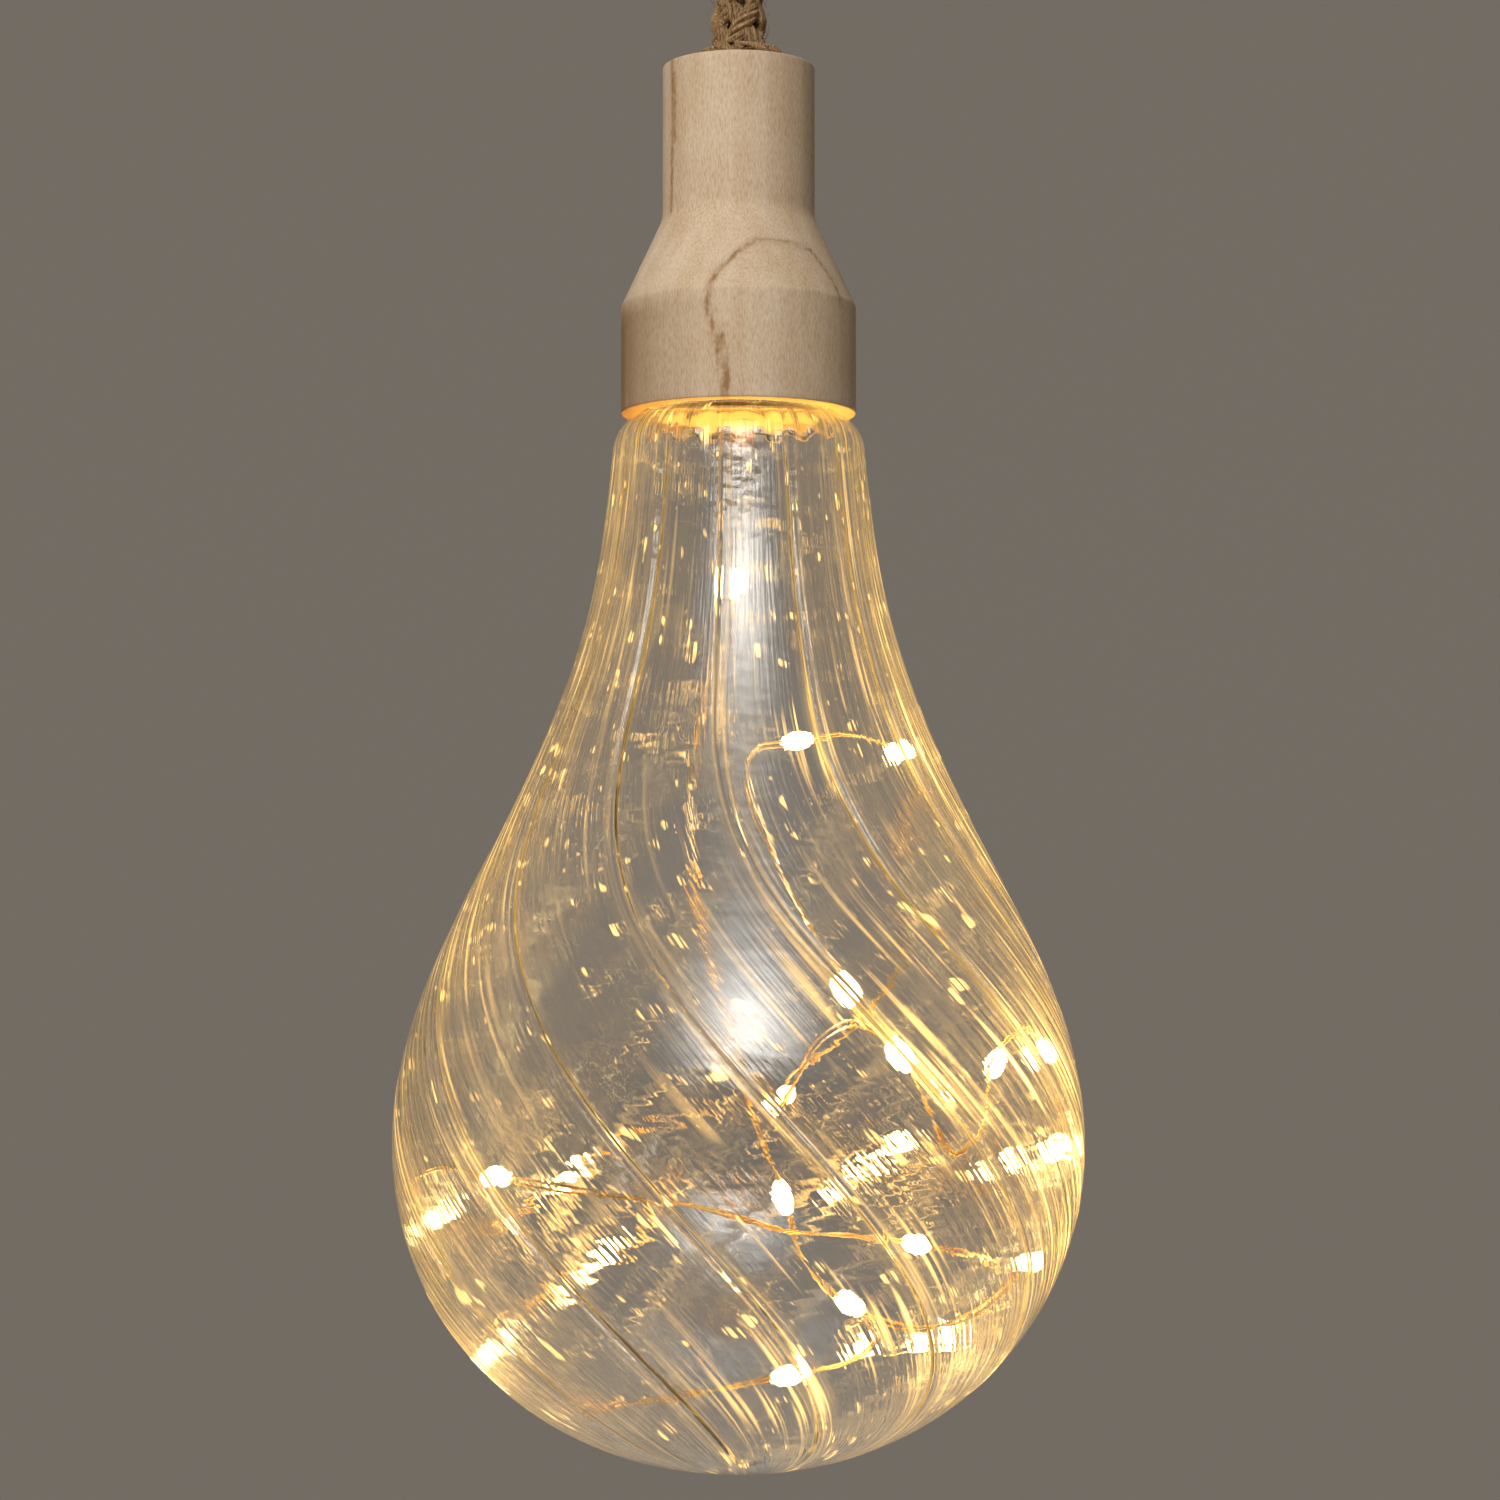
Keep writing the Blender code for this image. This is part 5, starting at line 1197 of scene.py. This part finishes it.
# Glows in the glass neck: millimetres aside, behind and below the cap's rim
NECK_GLOWS = ((7, -7, 24), (-8, 3, 26), (4, 8, 25), (0, -2, 34))
NECK_LIGHT = "FFC648"
NECK_POWER = 0.028
NECK_LIGHT_SIZE = 3 * MM


def stage_material():
    """Matt paint on the studio's sweep. What the camera and the glass see of it has an even tone of its
    own, darker on the wall than on the floor, so that no more light has to fall on the lamp."""
    made, tree, shader = new_material("matt painted studio sweep", "B9B0A4", 0.9, Specular_IOR_Level=0.1)
    place = add_node(tree, "ShaderNodeTexCoord")
    height = add_node(tree, "ShaderNodeSeparateXYZ", links={"Vector": place.outputs["Object"]})
    rise = add_node(tree, "ShaderNodeMapRange", {"interpolation_type": "SMOOTHSTEP"},
                    {"From Min": SWEEP_FLOOR_Z, "From Max": SWEEP_FLOOR_Z + 0.6 * SWEEP_BEND},
                    {"Value": height.outputs["Z"]})
    tone = add_node(tree, "ShaderNodeValToRGB", links={"Fac": rise.outputs["Result"]},
                    stops=((0.0, FLOOR_TONE), (1.0, WALL_TONE)))
    tree.links.new(tone.outputs["Color"], shader.inputs["Emission Color"])
    ray = add_node(tree, "ShaderNodeLightPath")
    seen = add_node(tree, "ShaderNodeMath", {"operation": "ADD"}, None,
                    {0: ray.outputs["Is Camera Ray"], 1: ray.outputs["Is Glossy Ray"]})
    seen = add_node(tree, "ShaderNodeMath", {"operation": "ADD", "use_clamp": True}, None,
                    {0: seen.outputs["Value"], 1: ray.outputs["Is Transmission Ray"]})
    tree.links.new(seen.outputs["Value"], shader.inputs["Emission Strength"])
    made.cycles.emission_sampling = "NONE"
    paint = add_node(tree, "ShaderNodeValToRGB", links={"Fac": seen.outputs["Value"]},
                     stops=((0.0, "B9B0A4"), (1.0, "4A4642")))
    tree.links.new(paint.outputs["Color"], shader.inputs["Base Color"])
    return made


def make_stage():
    """A round sweep: pale floor that rises into a plain grey wall."""
    outline = [(0.02, SWEEP_FLOOR_Z), (0.5, SWEEP_FLOOR_Z), (SWEEP_RADIUS - SWEEP_BEND, SWEEP_FLOOR_Z)]
    for k in range(1, 16):
        angle = math.pi / 2 * k / 15
        outline.append((SWEEP_RADIUS - SWEEP_BEND * (1 - math.sin(angle)),
                        SWEEP_FLOOR_Z + SWEEP_BEND * (1 - math.cos(angle))))
    outline += [(SWEEP_RADIUS, 0.3), (SWEEP_RADIUS, 1.3)]
    points = [(radius, 0, height) for radius, height in outline]
    sweep = mesh_piece("studio_sweep", points, [], [(i, i + 1) for i in range(len(points) - 1)])
    spin(sweep, 96, merge=1e-5, inside=True)
    bpy.ops.object.shade_smooth()
    sweep.data.materials.append(stage_material())


def facing(place, aim):
    """Turn of a light or a cloth that looks from its place at its aim."""
    return (Vector(aim) - Vector(place)).to_track_quat("-Z", "Y").to_euler()


def add_area(name, place, size, watts):
    """A softbox's white light on the lamp, which the glass doesn't mirror either."""
    light = add_light(name, "AREA", place, watts)
    light.data.shape = "RECTANGLE"
    light.data.size, light.data.size_y = size
    light.rotation_euler = facing(place, LAMP_MIDDLE)
    light.visible_glossy = False


def add_cloth():
    """The key softbox's glowing cloth, as the glass mirrors it: brightest below its middle."""
    half_x, half_y = CLOTH_SIZE[0] / 2, CLOTH_SIZE[1] / 2
    panel = mesh_piece("key_softbox_cloth", [(-half_x, -half_y, 0), (half_x, -half_y, 0),
                                             (half_x, half_y, 0), (-half_x, half_y, 0)], [(0, 1, 2, 3)])
    panel.location = CLOTH_PLACE
    panel.rotation_euler = facing(CLOTH_PLACE, CLOTH_AIM)
    made, tree, shader = new_material("lit softbox cloth", "000000", 1.0)
    shader.inputs["Emission Color"].default_value = colour("FFFDF8")
    cloth = add_node(tree, "ShaderNodeTexCoord")
    spread = add_node(tree, "ShaderNodeMapping", inputs={"Location": (0, 0.38, 0), "Scale": (1.17, 1.17, 1)},
                      links={"Vector": cloth.outputs["Object"]})
    falloff = add_node(tree, "ShaderNodeTexGradient", {"gradient_type": "QUADRATIC_SPHERE"},
                       links={"Vector": spread.outputs["Vector"]})
    level = add_node(tree, "ShaderNodeMath", {"operation": "MULTIPLY_ADD"},
                     {1: CLOTH_STRENGTH, 2: 0.02 * CLOTH_STRENGTH}, {0: falloff.outputs["Fac"]})
    tree.links.new(level.outputs["Value"], shader.inputs["Emission Strength"])
    panel.data.materials.append(made)
    for ray in ("camera", "diffuse", "shadow"):
        setattr(panel, f"visible_{ray}", False)


def add_lights():
    """Softboxes in front, at the left and behind, dim glows in the glass neck, and a faint even world."""
    add_cloth()
    for name, place, size, watts in SOFTBOXES:
        add_area(name, place, size, watts)
    for k, (aside, behind, below) in enumerate(NECK_GLOWS):
        place = (aside * MM, behind * MM, CAP_RIM_Z - below * MM)
        glow = add_glow(f"neck_glow_{k}", place, NECK_POWER, NECK_LIGHT_SIZE, NECK_LIGHT)
        glow.visible_glossy = False
    world = bpy.data.worlds.new("studio")
    bpy.context.scene.world = world
    world.use_nodes = True
    world.node_tree.nodes["Background"].inputs["Color"].default_value = colour("F4F1EC")
    world.node_tree.nodes["Background"].inputs["Strength"].default_value = 0.2


add_camera()
jute = jute_material()
make_rope(jute)
make_collar(jute)
make_knot("rose_stopper_knot", jute, centre=pivot.z, radius=KNOT_RADIUS, squash=1.0,
          neck=(pivot.z - 18 * MM, pivot.z - 12 * MM), node="rose_knot")
knot_low, knot_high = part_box("cap_knot")
make_knot("cap_stopper_knot", jute, centre=knot_low.z + 9.8 * MM, radius=12.4 * MM, squash=0.79,
          neck=(knot_low.z + 16 * MM, knot_high.z), node="cap_knot")
wood = wood_material("turned maple")
make_cap()
make_plug(wood)
make_rose(wood)
course, marks = make_wire()
lit_by_lamps = bpy.data.collections.new("lit_by_lamps")
make_lamps(course, marks, lit_by_lamps)
make_glass(np.array([course[round(mark / WIRE_STEP)] for mark in marks]))
for name in ("glass_drop", "copper_wire_pair"):
    lit_by_lamps.objects.link(bpy.data.objects[name])
zinc = zinc_material()
brass = brass_material()
make_bush(brass)
make_swivel(zinc)
make_cup_screws(zinc)
dress_fittings(zinc, brass)
make_stage()
add_lights()

bpy.context.scene.view_settings.view_transform = "Standard"
